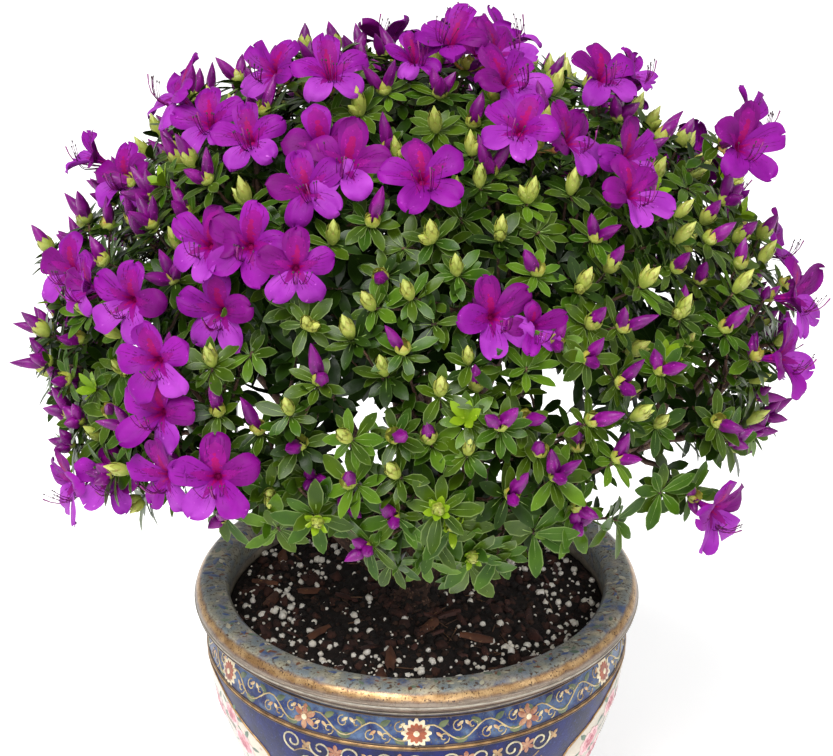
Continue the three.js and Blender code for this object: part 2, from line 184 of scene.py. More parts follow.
def mottled(tree, main, second, flecks, scale, stretch=(1, 1, 1), fleck_share=0.12):
    """The mottle group placed in a material, with its own values. Its three colours are red,
    green and blue from 0 to 255."""
    values = {"Main": colour(*main), "Second": colour(*second), "Flecks": colour(*flecks),
              "Scale": scale, "Stretch": stretch, "Fleck share": fleck_share}
    return add(tree, "Group", values, node_tree=mottle)


def ramp(tree, position, stops):
    """A colour ramp with the given positions and colours."""
    made = add(tree, "ValToRGB", {"Fac": position})
    elements = made.color_ramp.elements
    elements.remove(elements[1])
    elements[0].position, elements[0].color = stops[0]
    for place, shade in stops[1:]:
        elements.new(place).color = shade
    return made.outputs["Color"]


def finish(name, main, second, flecks, scale, roughness, bump=0.2, shine=None, **pattern):
    """A material whose colour and bump come from the mottle group. Shine holds plain values for
    the shader's own sockets."""
    made = bpy.data.materials.new(name)
    made.use_nodes = True
    tree = made.node_tree
    shader = tree.nodes["Principled BSDF"]
    mix = mottled(tree, main, second, flecks, scale, **pattern)
    relief = {"Height": mix.outputs["Height"], "Strength": bump, "Distance": 0.4 * MM}
    tree.links.new(mix.outputs["Color"], shader.inputs["Base Color"])
    tree.links.new(add(tree, "Bump", relief).outputs[0], shader.inputs["Normal"])
    for label, value in {"Roughness": roughness, **(shine or {})}.items():
        shader.inputs[label].default_value = value
    return made


def blended(made, field, stops, blend="MULTIPLY"):
    """Blends a finish's colour with a ramp over one of the piece's fields."""
    tree = made.node_tree
    socket = tree.nodes["Principled BSDF"].inputs["Base Color"]
    read = add(tree, "Attribute", attribute_name=field).outputs["Fac"]
    both = {"Fac": 1.0, "Color1": socket.links[0].from_socket, "Color2": ramp(tree, read, stops)}
    tree.links.new(add(tree, "MixRGB", both, blend_type=blend).outputs[0], socket)
    return made


pot_outside = np.concatenate([POT_FOOT, through(POT_BELLY + POT_LIP + POT_RIM, 7)])
pot_inside = through(POT_INSIDE, 5)
pot_profile = np.concatenate([pot_outside, pot_inside, [(0, 14)]])
pot_steps = np.linalg.norm(np.diff(pot_profile, axis=0), axis=1)
pot_share = np.concatenate([[0], np.cumsum(pot_steps)]) / pot_steps.sum()


def share_at(height):
    """The share of the pot's profile, from its foot, where its outside reaches a height."""
    return float(pot_share[np.argmax(pot_profile[:, 1] >= height)])


def pot_glaze():
    """Zones of glaze laid over each other by the profile's share, with edges that wander, then
    fine craze lines over all."""
    made = bpy.data.materials.new("pot_glaze")
    made.use_nodes = True
    tree = made.node_tree
    shader = tree.nodes["Principled BSDF"]
    place = add(tree, "TexCoord").outputs["Object"]
    wander = add(tree, "TexNoise", {"Vector": place, "Scale": 90.0, "Detail": 3.0}).outputs[0]
    along = add(tree, "Attribute", attribute_name="profile").outputs["Fac"]
    shift = add(tree, "Math", {0: wander, 1: 0.006, 2: -0.003}, operation="MULTIPLY_ADD").outputs[0]
    moved = add(tree, "Math", {0: along, 1: shift}, operation="ADD").outputs[0]

    def zone(start, end):
        """A mask that is white between two shares of the profile, with soft edges."""
        clear, full = (0, 0, 0, 1), (1, 1, 1, 1)
        soft = 0.0012
        stops = [(start - soft, clear), (start + soft, full), (end - soft, full), (end + soft, clear)]
        return ramp(tree, moved, stops)

    def over(under, mask, shade):
        """One colour laid over another where the mask is white."""
        return add(tree, "MixRGB", {"Fac": mask, "Color1": under, "Color2": shade}).outputs[0]

    body = mottled(tree, (8, 20, 86), (5, 12, 54), (38, 56, 112), 70)
    band = mottled(tree, (28, 48, 100), (84, 106, 136), (96, 88, 62), 85, fleck_share=0.14)
    deep = mottled(tree, (8, 16, 70), (28, 46, 98), (122, 108, 80), 95, fleck_share=0.12)
    neck = mottled(tree, (140, 126, 112), (88, 76, 66), (186, 168, 140), 26, stretch=(1, 1, 26))
    lip = mottled(tree, (158, 122, 80), (196, 162, 116), (78, 56, 40), 110, fleck_share=0.16)
    rim = mottled(tree, (128, 138, 142), (160, 156, 136), (86, 68, 54), 75, fleck_share=0.18)
    stain = mottled(tree, (82, 100, 138), (190, 180, 154), (108, 78, 58), 64, fleck_share=0.16)
    inner = mottled(tree, (176, 166, 148), (142, 132, 118), (92, 80, 66), 60)
    patches = add(tree, "TexNoise", {"Vector": place, "Scale": 46.0, "Detail": 5.0}).outputs[0]
    some = add(tree, "MapRange", {"Value": patches, "From Min": 0.5, "From Max": 0.6}).outputs[0]
    cloudy = over(band.outputs[0], some, deep.outputs[0])
    aged = over(rim.outputs[0], some, stain.outputs[0])

    lip_mask = zone(share_at(NECK_TOP_Z), share_at(LIP_TOP_Z))
    inner_start = share_at(RIM_TOP_Z) + RIM_SHARE
    shade = over(body.outputs[0], zone(share_at(BAND_FOOT_Z), share_at(BAND_TOP_Z)), cloudy)
    shade = over(shade, zone(share_at(BAND_TOP_Z), share_at(NECK_TOP_Z)), neck.outputs[0])
    shade = over(shade, zone(share_at(LIP_TOP_Z), inner_start), aged)
    shade = over(shade, zone(inner_start, 1.1), inner.outputs[0])
    shade = over(shade, lip_mask, lip.outputs[0])
    cells = add(tree, "TexVoronoi", {"Vector": place, "Scale": 210.0}, feature="DISTANCE_TO_EDGE")
    line = add(tree, "MapRange", {"Value": cells.outputs[0], "From Min": 0.0, "From Max": 0.05})
    crazed = ramp(tree, line.outputs[0], [(0, (0.62, 0.58, 0.52, 1)), (1, (1, 1, 1, 1))])
    both = {"Fac": 0.7, "Color1": shade, "Color2": crazed}
    glazed = add(tree, "MixRGB", both, blend_type="MULTIPLY").outputs[0]
    tree.links.new(glazed, shader.inputs["Base Color"])
    metal = add(tree, "Math", {0: lip_mask, 1: 0.6}, operation="MULTIPLY").outputs[0]
    tree.links.new(metal, shader.inputs["Metallic"])
    bump = {"Height": lip.outputs["Height"], "Strength": 0.25, "Distance": 0.5 * MM}
    tree.links.new(add(tree, "Bump", bump).outputs[0], shader.inputs["Normal"])
    shader.inputs["Roughness"].default_value = 0.34
    shader.inputs["Coat Weight"].default_value = 0.12
    shader.inputs["Specular IOR Level"].default_value = 0.22
    shader.inputs["Coat Roughness"].default_value = 0.12
    return made


points, faces = turned(pot_profile * MM, POT_SIDES)
ring_shares = np.repeat(pot_share[1:-1], POT_SIDES)
piece("glazed_pot", points, faces, pot_glaze(), "glaze", replaces=["pot"],
      fields={"profile": np.concatenate([ring_shares, [0, 1]])})


# ---- Enamel on the pot ----
# Raised enamel, painted on over the glaze and fired: gold lines, a running vine with florets in
# the band, scrolls on the cobalt, two cream panels with peonies, and petals round the foot.
BELLY_RADIUS = 163
ENAMEL = 0.9  # mm thick at its middle, half of it sunk in the glaze
belly_line = through(POT_BELLY + POT_LIP, 12)
belly_line[:, 1] = np.maximum.accumulate(belly_line[:, 1])


def on_pot(drawing, lift=0.0):
    """Puts a flat drawing on the pot's outside. Its first number runs round the belly from the
    front and its second is the height, both in mm. It is lifted so many mm off the glaze."""
    angle = drawing[..., 0] / BELLY_RADIUS
    radius = np.interp(drawing[..., 1], belly_line[:, 1], belly_line[:, 0]) + lift
    return np.stack([radius * np.sin(angle), -radius * np.cos(angle), drawing[..., 1]], axis=-1) * MM


def joined(points, faces):
    """Many copies with the same faces as one: each copy's faces count on from the last one's."""
    copies, count = points.shape[:2]
    starts = count * np.arange(copies)
    return points.reshape(-1, 3), (faces + starts[:, None, None]).reshape(-1, faces.shape[1])


def merged(parts):
    """Several sets of points and faces as one: each set's faces count on from the last one's."""
    starts = np.cumsum([0] + [len(points) for points, _ in parts])
    faces = [faces + start for (_, faces), start in zip(parts, starts)]
    return np.concatenate([points for points, _ in parts]), np.concatenate(faces)


def lenses(middle, thickness):
    """Closed thin shells, one for each grid of middle points. The top is lifted along the grid's
    normals and the underside sunk, most in the middle and not at all at the shared border."""
    across = np.gradient(middle, axis=2)
    along = np.gradient(middle, axis=1)
    normal = np.cross(across, along)
    normal /= np.linalg.norm(normal, axis=-1, keepdims=True) + 1e-12
    copies, rows, cols = middle.shape[:3]
    swell = np.outer(np.sin(np.linspace(0, np.pi, rows)), np.sin(np.linspace(0, np.pi, cols))) ** 0.4
    swell[[0, -1]] = swell[:, [0, -1]] = 0
    offset = normal * (0.5 * thickness * swell)[..., None]
    top = (middle + offset).reshape(copies, -1, 3)
    under = (middle - offset)[:, 1:-1, 1:-1].reshape(copies, -1, 3)
    index = np.arange(rows * cols).reshape(rows, cols)
    below = index.copy()
    below[1:-1, 1:-1] = rows * cols + np.arange((rows - 2) * (cols - 2)).reshape(rows - 2, cols - 2)

    def quads(grid):
        """The faces between the grid's neighbouring rows and columns."""
        corners = [grid[:-1, :-1], grid[:-1, 1:], grid[1:, 1:], grid[1:, :-1]]
        return np.stack(corners, axis=-1).reshape(-1, 4)

    points = np.concatenate([top, under], axis=1)
    return joined(points, np.concatenate([quads(index), quads(below)[:, ::-1]]))


def lens_field(grid):
    """The numbers of a grid, for the points of one lens on it."""
    return np.concatenate([grid.ravel(), grid[1:-1, 1:-1].ravel()])


def tubes(routes, radii, sides, spin=0.0):
    """Closed limbs, one along each route: rings of points square to the route, with a point at
    each end to close it. The radii are for each point of a route, or for each point of a ring."""
    ahead = np.gradient(routes, axis=1)
    ahead /= np.linalg.norm(ahead, axis=-1, keepdims=True) + 1e-12
    chord = ahead.mean(axis=1, keepdims=True)
    steep = np.abs(chord[..., 2:]) > 0.8 * np.linalg.norm(chord, axis=-1, keepdims=True)
    guide = np.where(steep, np.array([1.0, 0, 0]), np.array([0, 0, 1.0]))
    side = np.cross(ahead, np.broadcast_to(guide, ahead.shape))
    side /= np.linalg.norm(side, axis=-1, keepdims=True) + 1e-12
    other = np.cross(ahead, side)
    turn = (2 * np.pi * np.arange(sides) / sides + np.zeros((len(routes), 1, 1)) + spin)[..., None]
    out = np.cos(turn) * side[:, :, None] + np.sin(turn) * other[:, :, None]
    radii = np.asarray(radii, float)
    radii = radii[..., None] if radii.ndim < 3 else radii
    rings = routes[:, :, None] + out * np.broadcast_to(radii, (*routes.shape[:2], sides))[..., None]
    copies, steps = routes.shape[:2]
    points = np.concatenate([rings.reshape(copies, -1, 3), routes[:, :1], routes[:, -1:]], axis=1)
    quads, fans = ring_faces(steps, sides)
    return joined(points, np.concatenate([quads[:, [0, 1, 2]], quads[:, [0, 2, 3]], fans]))


def blade(length, width, rows=5, cols=3, widest=0.5, blunt=0.7):
    """A flat blade that stands on (0, 0): its half width is the sine of its share of the length,
    bent so that it is widest where asked, to the power of how blunt it is."""
    share = np.linspace(0.03, 0.97, rows)[:, None]
    half = 0.5 * width * np.sin(np.pi * share ** (math.log(0.5) / math.log(widest))) ** blunt
    along = np.broadcast_to(length * share, (rows, cols))
    return np.stack([half * np.linspace(-1, 1, cols), along], axis=-1)


def stamped(shape, places):
    """Copies of a flat drawing, one for each place: across, height, turn in degrees, size."""
    across, height, turn, size = np.array(places, float).T[..., None, None]
    turn = np.radians(turn)
    x, y = shape[..., 0] * size, shape[..., 1] * size
    return np.stack([across + x * np.cos(turn) + y * np.sin(turn),
                     height - x * np.sin(turn) + y * np.cos(turn)], axis=-1)


def spokes(centres, count, size=1.0, first=0.0):
    """Places for as many petals round each centre."""
    turns = first + 360 * np.arange(count) / count
    return [(x, z, turn, size) for x, z in centres for turn in turns]


def enamel(name, main, second, drawings, lift=0.1):
    """A piece of enamel in one colour: lens-shaped drops on flat drawings, put on the pot."""
    made = finish(name, main, second, main, 150, 0.35, bump=0.1, shine={"Coat Weight": 0.15})
    points, faces = merged([lenses(on_pot(drawing, lift), ENAMEL * MM) for drawing in drawings])
    return piece(name, points, faces, made, "glaze", sharp=50)


def enamel_lines(name, main, second, routes, radius, shine=None):
    """A piece of enamel lines, half sunk in the glaze, along flat routes put on the pot."""
    made = finish(name, main, second, main, 120, 0.32, bump=0.1, shine=shine)
    points, faces = tubes(on_pot(routes), np.full(routes.shape[:2], radius * MM), 6)
    return piece(name, points, faces, made, "glaze")


FLORETS = 12  # large and small ones by turns
VINE_SWING, VINE_WAVES = 6.2, 24
VINE_PLACES = 96  # where a leaf, a comma and a scroll may hang on the vine
FLORET_REACH = 13  # mm round each floret that stay clear of them
round_belly = 2 * np.pi * BELLY_RADIUS
band_z = 0.5 * (BAND_FOOT_Z + BAND_TOP_Z)
all_florets = [(k * round_belly / FLORETS, band_z) for k in range(FLORETS)]
floret_places, small_floret_places = all_florets[::2], all_florets[1::2]
full_turn = np.linspace(0, round_belly, 241)
wave = 2 * np.pi * VINE_WAVES / round_belly
vine = np.stack([full_turn, band_z + VINE_SWING * np.sin(wave * full_turn)], axis=-1)[None]

GOLD, OLD_GOLD = (176, 140, 92), (120, 90, 58)
CREAM, OLD_CREAM = (226, 212, 180), (190, 172, 140)
RUST, DEEP_RUST = (160, 78, 40), (118, 54, 30)
BROWN, UMBER = (92, 70, 54), (62, 48, 38)
SILVER, GREY = (176, 168, 152), (140, 132, 120)
gilt = {"Metallic": 0.5}


def rings_at(heights):
    """Flat routes right round the pot at these heights."""
    rings = [np.stack([full_turn, np.full_like(full_turn, height)], axis=-1) for height in heights]
    return np.array(rings)


enamel_lines("gold_lines", GOLD, OLD_GOLD, rings_at([BAND_FOOT_Z, 66, 62, 16]), 1.1, gilt)
brown_heights = [BAND_FOOT_Z - 1.9, BAND_FOOT_Z + 2.0, 227.6, 232.5, 240.5]
enamel_lines("brown_lines", BROWN, UMBER, rings_at(brown_heights), 0.7)
enamel_lines("silver_lines", SILVER, GREY, rings_at([229.6, 236.2, 243.5]), 0.7)
enamel_lines("vine", (196, 176, 130), (150, 126, 86), vine, 0.6)

# The florets of the band: rust petals with cream tips behind them, round a cream eye.
petal_shape = blade(8.0, 3.2, widest=0.6, blunt=0.6)
tip_shape = blade(11.4, 4.4, widest=0.68, blunt=0.6)
small_petal = blade(8.6, 4.2, widest=0.62, blunt=0.6)
eye_places = [(x, z - 2.3, 0, 1) for x, z in floret_places + small_floret_places]
enamel("floret_tips", CREAM, OLD_CREAM, [stamped(tip_shape, spokes(floret_places, 12))], 0.1)
enamel("floret_petals", RUST, DEEP_RUST, [stamped(petal_shape, spokes(floret_places, 12))], 0.45)
enamel("floret_eyes", CREAM, OLD_CREAM, [stamped(blade(4.6, 4.6, blunt=0.5), eye_places)], 0.9)

# Leaves, commas and scrolls that hang on the vine.
leaf_places, comma_places, scroll_places = [], [], []
for k in range(VINE_PLACES):
    x = (k + 0.5) * round_belly / VINE_PLACES
    past_florets = [(x - at + round_belly / 2) % round_belly - round_belly / 2 for at, _ in floret_places]
    if min(abs(past) for past in past_florets) < FLORET_REACH:
        continue
    side = 1 if k % 2 else -1
    z = band_z + VINE_SWING * math.sin(wave * x)
    leaf_places.append((x, z, 60 * side + (180 if k % 4 > 1 else 0), 1))
    comma_places.append((x + 3, band_z - 0.8 * (z - band_z), -50 * side, 1))
    scroll_places.append((x + 4, band_z - 0.9 * (z - band_z), 90 * side, 1))
enamel("vine_leaves", (96, 106, 66), (58, 74, 52), [stamped(blade(9.0, 4.6, widest=0.4), leaf_places)])
enamel("vine_commas", (206, 190, 150), (170, 120, 76),
       [stamped(blade(6.2, 2.6, widest=0.6), comma_places)])
curl = np.linspace(0, 1, 12)
curl_reach = 4.6 * (1 - 0.75 * curl)
curl_shape = np.stack([curl_reach * np.cos(7 * curl), curl_reach * np.sin(7 * curl)], axis=-1)
enamel_lines("band_scrolls", (190, 170, 124), (146, 120, 80),
             stamped(curl_shape[:, None], scroll_places)[:, :, 0], 0.5)

# Loose marks on the flat of the rim: blue, cream, green and rust drops that lie any way.
RIM_POINTS = 14  # of the profile, over the rim
RIM_MIDDLE_RADIUS = 156
RIM_MARKS = 70  # of each kind
rim_line = pot_profile[len(pot_outside) - RIM_POINTS:len(pot_outside)][::-1]


def on_rim(drawing):
    """Puts a flat drawing on the top of the rim. Its first number runs round from the front in
    mm, and its second is the distance from the axis."""
    angle = drawing[..., 0] / RIM_MIDDLE_RADIUS
    radius = drawing[..., 1]
    height = np.interp(radius, rim_line[:, 0], rim_line[:, 1])
    return np.stack([radius * np.sin(angle), -radius * np.cos(angle), height], axis=-1) * MM


rim_round = 2 * np.pi * RIM_MIDDLE_RADIUS
rim_kinds = [("rim_blue", (62, 84, 134), (96, 112, 146), 9.0, 3.6),
             ("rim_cream", (204, 198, 172), (176, 170, 146), 7.0, 3.4),
             ("rim_green", (96, 116, 98), (120, 134, 112), 7.5, 3.6),
             ("rim_rust", (134, 84, 58), (104, 70, 54), 5.5, 2.6)]
rng = np.random.default_rng(3)
for label, main, second, length, width in rim_kinds:
    limits = ((0, rim_round), (150, 160), (0, 360), (0.6, 1.2))
    spots = np.stack([rng.uniform(least, most, RIM_MARKS) for least, most in limits], axis=-1)
    marks = stamped(blade(length, width, widest=0.6), spots)
    made = finish(label, main, second, main, 150, 0.3, bump=0.1, shine={"Coat Weight": 0.4})
    points, faces = lenses(on_rim(marks), 0.5 * MM)
    piece(label, points, faces, made, "glaze", sharp=50)

# Scrolls on the cobalt in front and behind, between the panels, with small florets among them.
PANEL_HALF_WIDTH, PANEL_HALF_HEIGHT, PANEL_Z = 130, 62, 136
SCROLL_SPACE = 24
SCROLL_HEIGHTS = (192, 172, 152, 132, 112, 92, 77)
GROUND_VINE_HEIGHTS = (182, 162, 142, 122, 102, 84)
scroll_turn = np.linspace(0, 1, 22)
scroll_routes, ground_florets, ground_buds = [], [], []
for side in (0, round_belly / 2):
    for row, z in enumerate(SCROLL_HEIGHTS):
        room = 104 - 0.1 * (186 - z)  # half the width between the panels at this height
        for col in range(-4, 5):
            x = side + (col + 0.5 * (row % 2)) * SCROLL_SPACE
            if abs(x - side) > room:
                continue
            hand = 1 if (row + col) % 2 else -1
            angle = hand * (0.5 + 8.4 * scroll_turn) + 1.7 * (row + 2 * col)
            reach = 9.4 * (1 - 0.82 * scroll_turn)
            scroll_routes.append(np.stack([x + reach * np.cos(angle), z + reach * np.sin(angle)], axis=-1))
            (ground_florets if (row + col) % 2 else ground_buds).append((x + SCROLL_SPACE / 2, z))
ground_way = np.linspace(-96, 96, 65)
ground_vines = []
for side in (0, round_belly / 2):
    for row, z in enumerate(GROUND_VINE_HEIGHTS):
        swing = 6 * np.sin(2 * np.pi * ground_way / (2 * SCROLL_SPACE) + row)
        ground_vines.append(np.stack([side + ground_way, z + swing], axis=-1))
enamel_lines("ground_vines", (168, 142, 96), (120, 96, 64), np.array(ground_vines), 0.55)
enamel_lines("scrolls", (200, 190, 156), (150, 140, 116), np.array(scroll_routes), 0.8)
small_rust = stamped(small_petal, spokes(small_floret_places, 6, 1.15) + spokes(ground_florets, 6, 0.85))
enamel("small_florets", (176, 132, 98), (132, 72, 48), [small_rust], 0.3)
small_gold = stamped(blade(5.4, 3.2), spokes(ground_buds, 4, 1, 45))
enamel("ground_buds", GOLD, OLD_GOLD, [small_gold], 0.2)

# The two panels: cream grounds with lobed outlines edged in gold, and peonies on them.
panel_sides = (round_belly / 4, -round_belly / 4)


def panel_grid(rows, cols):
    """A flat rectangle whose corners are drawn in towards a disc, with small lobes round it."""
    b, a = np.meshgrid(np.linspace(-1, 1, rows), np.linspace(-1, 1, cols), indexing="ij")
    x = a * (0.35 + 0.65 * np.sqrt(1 - b**2 / 2))
    y = b * (0.35 + 0.65 * np.sqrt(1 - a**2 / 2))
    lobes = 1 - 0.045 * np.cos(8 * np.arctan2(y, x)) * np.hypot(x, y) ** 3
    return np.stack([PANEL_HALF_WIDTH * x * lobes, PANEL_HALF_HEIGHT * y * lobes], axis=-1)


panel = panel_grid(31, 49)
edge = np.concatenate([panel[0, :-1], panel[:-1, -1], panel[-1, :0:-1], panel[::-1, 0]])
panel_spots = [(x, PANEL_Z, 0, 1) for x in panel_sides]
made = finish("panel_cream", (194, 182, 160), (168, 156, 138), (158, 124, 104), 26, 0.3,
              bump=0.1, shine={"Coat Weight": 0.4})
points, faces = lenses(on_pot(stamped(panel, panel_spots), 0.05), 0.8 * MM)
piece("panels", points, faces, made, "glaze", sharp=50)
enamel_lines("panel_edges", GOLD, OLD_GOLD, stamped(edge, panel_spots)[:, 0], 1.0, gilt)

# The peonies of a panel: across and up from its middle, and their size.
PEONIES = [
    (-94, 20, 0.95), (-66, 40, 0.8), (-70, -6, 1.15), (-106, -20, 0.75), (-30, 24, 1.15),
    (-24, -26, 1.0), (8, 44, 0.8), (14, -2, 1.3), (52, 30, 1.05), (56, -28, 0.95), (94, 18, 0.95),
    (100, -20, 0.75), (84, 40, 0.7),
]
STEM_HUBS = [(-106, -20), (-94, 20), (-70, -6), (-30, 24), (14, -2), (52, 30), (94, 18), (100, -20)]
peonies = [(side + x, PANEL_Z + z, size) for side in panel_sides for x, z, size in PEONIES]


def peony_ring(count, length, width, first):
    """One ring of petals on every peony: so many blades, evenly turned from the first one."""
    shape = blade(length, width, widest=0.66, blunt=0.5)
    places = [(x, z, first + 360 * k / count, size) for x, z, size in peonies for k in range(count)]
    return [stamped(shape, places)]


enamel("peony_outer", (214, 160, 166), (224, 190, 184), peony_ring(9, 15, 10, 0), 0.4)
enamel("peony_middle", (190, 110, 124), (208, 140, 146), peony_ring(7, 11, 8, 20), 0.75)
enamel("peony_heart", (160, 70, 86), (190, 100, 110), peony_ring(5, 6.5, 5, 5), 1.1)
leaf_turns = [35, 80, 130, 200, 250, 310]
panel_leaves = []
for x, z, size in peonies:
    for turn in leaf_turns:
        across, up = math.sin(math.radians(turn)), math.cos(math.radians(turn))
        panel_leaves.append((x + 10 * size * across, z + 10 * size * up, turn, size))
enamel("panel_leaves", (70, 104, 74), (44, 74, 56), [stamped(blade(16, 6.5, widest=0.45), panel_leaves)])
stem_routes = [through([(side + x, PANEL_Z + z) for x, z in STEM_HUBS], 10) for side in panel_sides]
enamel_lines("panel_stems", (110, 88, 60), (80, 64, 46), np.array(stem_routes), 0.6)

# Petals that stand round the foot, blue in cream edges, with a gold one between each two.
FOOT_PETALS = 26
FOOT_PETAL_Z = 20
foot_spots = [(k * round_belly / FOOT_PETALS, FOOT_PETAL_Z, 0, 1) for k in range(FOOT_PETALS)]
between = [((k + 0.5) * round_belly / FOOT_PETALS, FOOT_PETAL_Z, 0, 1) for k in range(FOOT_PETALS)]
enamel("foot_edges", CREAM, OLD_CREAM, [stamped(blade(41, 27, 9, 5, 0.5, 0.8), foot_spots)], 0.0)
inner_spots = [(x, z + 2.5, turn, size) for x, z, turn, size in foot_spots]
foot_petals = stamped(blade(34, 20, 9, 5, 0.5, 0.8), inner_spots)
enamel("foot_petals", (84, 112, 160), (52, 78, 138), [foot_petals], 0.5)
enamel("foot_hearts", RUST, DEEP_RUST, [stamped(blade(12, 5, 5, 3, 0.5), inner_spots)], 0.9)
enamel("foot_points", GOLD, OLD_GOLD, [stamped(blade(30, 6, 9, 3, 0.4), between)], 0.3)


# ---- Potting mix ----
# Damp peat and bark mix, loose and lumpy, with white perlite grains, flat chips of red-brown
# bark and a few straws and dead leaves on it. It fills the pot to below the rim.
MIX_RADIUS = 145.4
MIX_EDGE_Z = 227
rng = np.random.default_rng(7)


def mix_height(x, y):
    """The height of the mix in mm: a low mound with waves of several lengths over it."""
    far = np.hypot(x, y) / MIX_RADIUS
    waves = 1.1 * np.sin(0.052 * x + 1.3) * np.sin(0.061 * y + 0.4) + 0.7 * np.sin(0.17 * x - 0.12 * y)
    waves += 0.5 * np.sin(0.31 * x + 0.27 * y + 2) + 0.35 * np.sin(0.55 * x - 0.47 * y)
    return MIX_EDGE_Z + 4 * (1 - far**2) + waves * (1 - far**6)


mix_wall = [(0, 205), (130, 205), (MIX_RADIUS - 1, 212), (MIX_RADIUS, MIX_EDGE_Z)]
mix_rings = np.linspace(MIX_RADIUS - 2, 2, 62)
mix_top = np.stack([mix_rings, np.full_like(mix_rings, MIX_EDGE_Z)], axis=-1)
mix_profile = np.concatenate([mix_wall, mix_top, [(0, MIX_EDGE_Z)]])
points, faces = turned(mix_profile, 200)
upper = points[:, 2] >= MIX_EDGE_Z
crumbs = rng.normal(0, 0.45, len(points))
points[:, 2] = np.where(upper, mix_height(points[:, 0], points[:, 1]) + crumbs, points[:, 2])
mix_finish = finish("mix", (34, 24, 20), (20, 14, 12), (70, 46, 34), 160, 0.95, bump=0.9)
piece("mix", points * MM, faces, mix_finish, "potting_mix", replaces=["potting_mix"])


def unit(vectors):
    """Vectors at length one."""
    return vectors / np.linalg.norm(vectors, axis=-1, keepdims=True)


def scattered(count, inner, outer):
    """So many places on the mix between two radii, in mm, even over its area."""
    radius = np.sqrt(rng.uniform(inner**2, outer**2, count))
    turn = rng.uniform(0, 2 * np.pi, count)
    x, y = radius * np.sin(turn), radius * np.cos(turn)
    return np.stack([x, y, mix_height(x, y)], axis=-1)


def grains(centres, radii, sides, rough, flat=0.8):
    """Rounded grains: five rings each round an axis that lies any way, their radii uneven."""
    count = len(centres)
    axis = unit(rng.normal(0, 1, (count, 3)) * (1, 1, flat))
    steps = np.array([-1.0, -0.55, 0, 0.55, 1.0])
    routes = centres[:, None] + axis[:, None] * steps[:, None] * radii[:, None, None]
    ring = np.array([0.25, 0.85, 1, 0.85, 0.25])[:, None] * radii[:, None, None]
    uneven = 1 + rough * rng.uniform(-1, 1, (count, len(steps), sides))
    return tubes(routes * MM, ring * uneven * MM, sides)


# Lumps: name, how many, least and greatest radius, how flat they lie, and three colours. Some of
# each kind are heaped round the trunk.
HEAP_START, HEAP_END, HEAP_RISE = 12, 28, 0.08
lump_kinds = [("dark_lumps", 1200, 1.0, 3.6, 0.8, (30, 21, 17), (18, 13, 11), (60, 40, 30)),
              ("brown_lumps", 900, 0.9, 3.0, 0.7, (62, 40, 29), (38, 25, 20), (96, 64, 46)),
              ("bark_nuggets", 250, 2.4, 5.4, 0.35, (70, 40, 31), (44, 27, 22), (104, 68, 50))]
for label, count, least, most, flat, main, second, flecks in lump_kinds:
    heap = scattered(count // 8, HEAP_START, HEAP_END)
    heap[:, 2] += HEAP_RISE * (HEAP_END - np.hypot(heap[:, 0], heap[:, 1])) ** 2
    places = np.concatenate([scattered(count, 0, MIX_RADIUS - 3), heap])
    points, faces = grains(places, rng.uniform(least, most, len(places)), 5, 0.4, flat)
    piece(label, points, faces, finish(label, main, second, flecks, 110, 0.9, bump=0.7), "potting_mix")

perlite = np.concatenate([scattered(400, 20, MIX_RADIUS - 4), scattered(420, 90, MIX_RADIUS - 3)])
perlite = perlite + (0, 0, 1.3)
perlite_radii = 0.8 + 2.4 * rng.uniform(0, 1, len(perlite)) ** 1.9
points, faces = grains(perlite, perlite_radii, 6, 0.24)
perlite_finish = finish("perlite", (255, 250, 240), (246, 238, 222), (222, 206, 178), 300, 0.7)
piece("perlite", points, faces, perlite_finish, "potting_mix")


def chips(centres, lengths, widths, tilt, rows=5, cols=4):
    """Flat chips with uneven outlines, lying on the mix nearly level, each turned its own way."""
    count = len(centres)
    turn = rng.uniform(0, 2 * np.pi, count)
    ahead = unit(np.stack([np.cos(turn), np.sin(turn), rng.normal(0, tilt, count)], axis=-1))
    side = unit(np.cross(ahead, np.array([0, 0, 1.0]) + rng.normal(0, tilt, (count, 3))))
    share = np.linspace(-0.5, 0.5, rows)[None, :, None, None]
    half = 0.5 * np.cos(np.linspace(-1.25, 1.25, rows))[None, :, None, None] ** 0.5
    cross = np.linspace(-1, 1, cols)[None, None, :, None]
    uneven = 1 + rng.uniform(-0.28, 0.28, (count, rows, cols, 1))
    grid = centres[:, None, None] + ahead[:, None, None] * lengths[:, None, None, None] * share
    grid = grid + side[:, None, None] * widths[:, None, None, None] * half * cross * uneven
    grid[..., 2] += 0.09 * lengths[:, None, None] * (1 - cross[..., 0] ** 2)
    return grid * MM


CHIPS, STRAWS, DEAD_LEAVES = 84, 56, 13
chip_places = scattered(CHIPS, 10, MIX_RADIUS - 9) + (0, 0, 1.2)
chip_grid = chips(chip_places, 5 + 16 * rng.uniform(0, 1, CHIPS) ** 1.6, rng.uniform(3.5, 8.5, CHIPS), 0.28)
points, faces = lenses(chip_grid, 1.6 * MM)
chip_finish = finish("chip_bark", (76, 41, 33), (46, 27, 22), (116, 72, 52), 90, 0.7, bump=0.6)
piece("bark_chips", points, faces, chip_finish, "potting_mix", sharp=40)


def limbs(name, routes, radii, sides, look, slot="foliage", **more):
    """A piece of closed limbs along routes in mm. The radii, in mm too, may be one row for all
    the routes, a row for each, or a number for each point of each ring."""
    radii = np.asarray(radii, float)
    if radii.ndim < 3:
        radii = np.broadcast_to(radii, routes.shape[:2])
    points, faces = tubes(routes * MM, radii * MM, sides)
    return piece(name, points, faces, look, slot, **more)


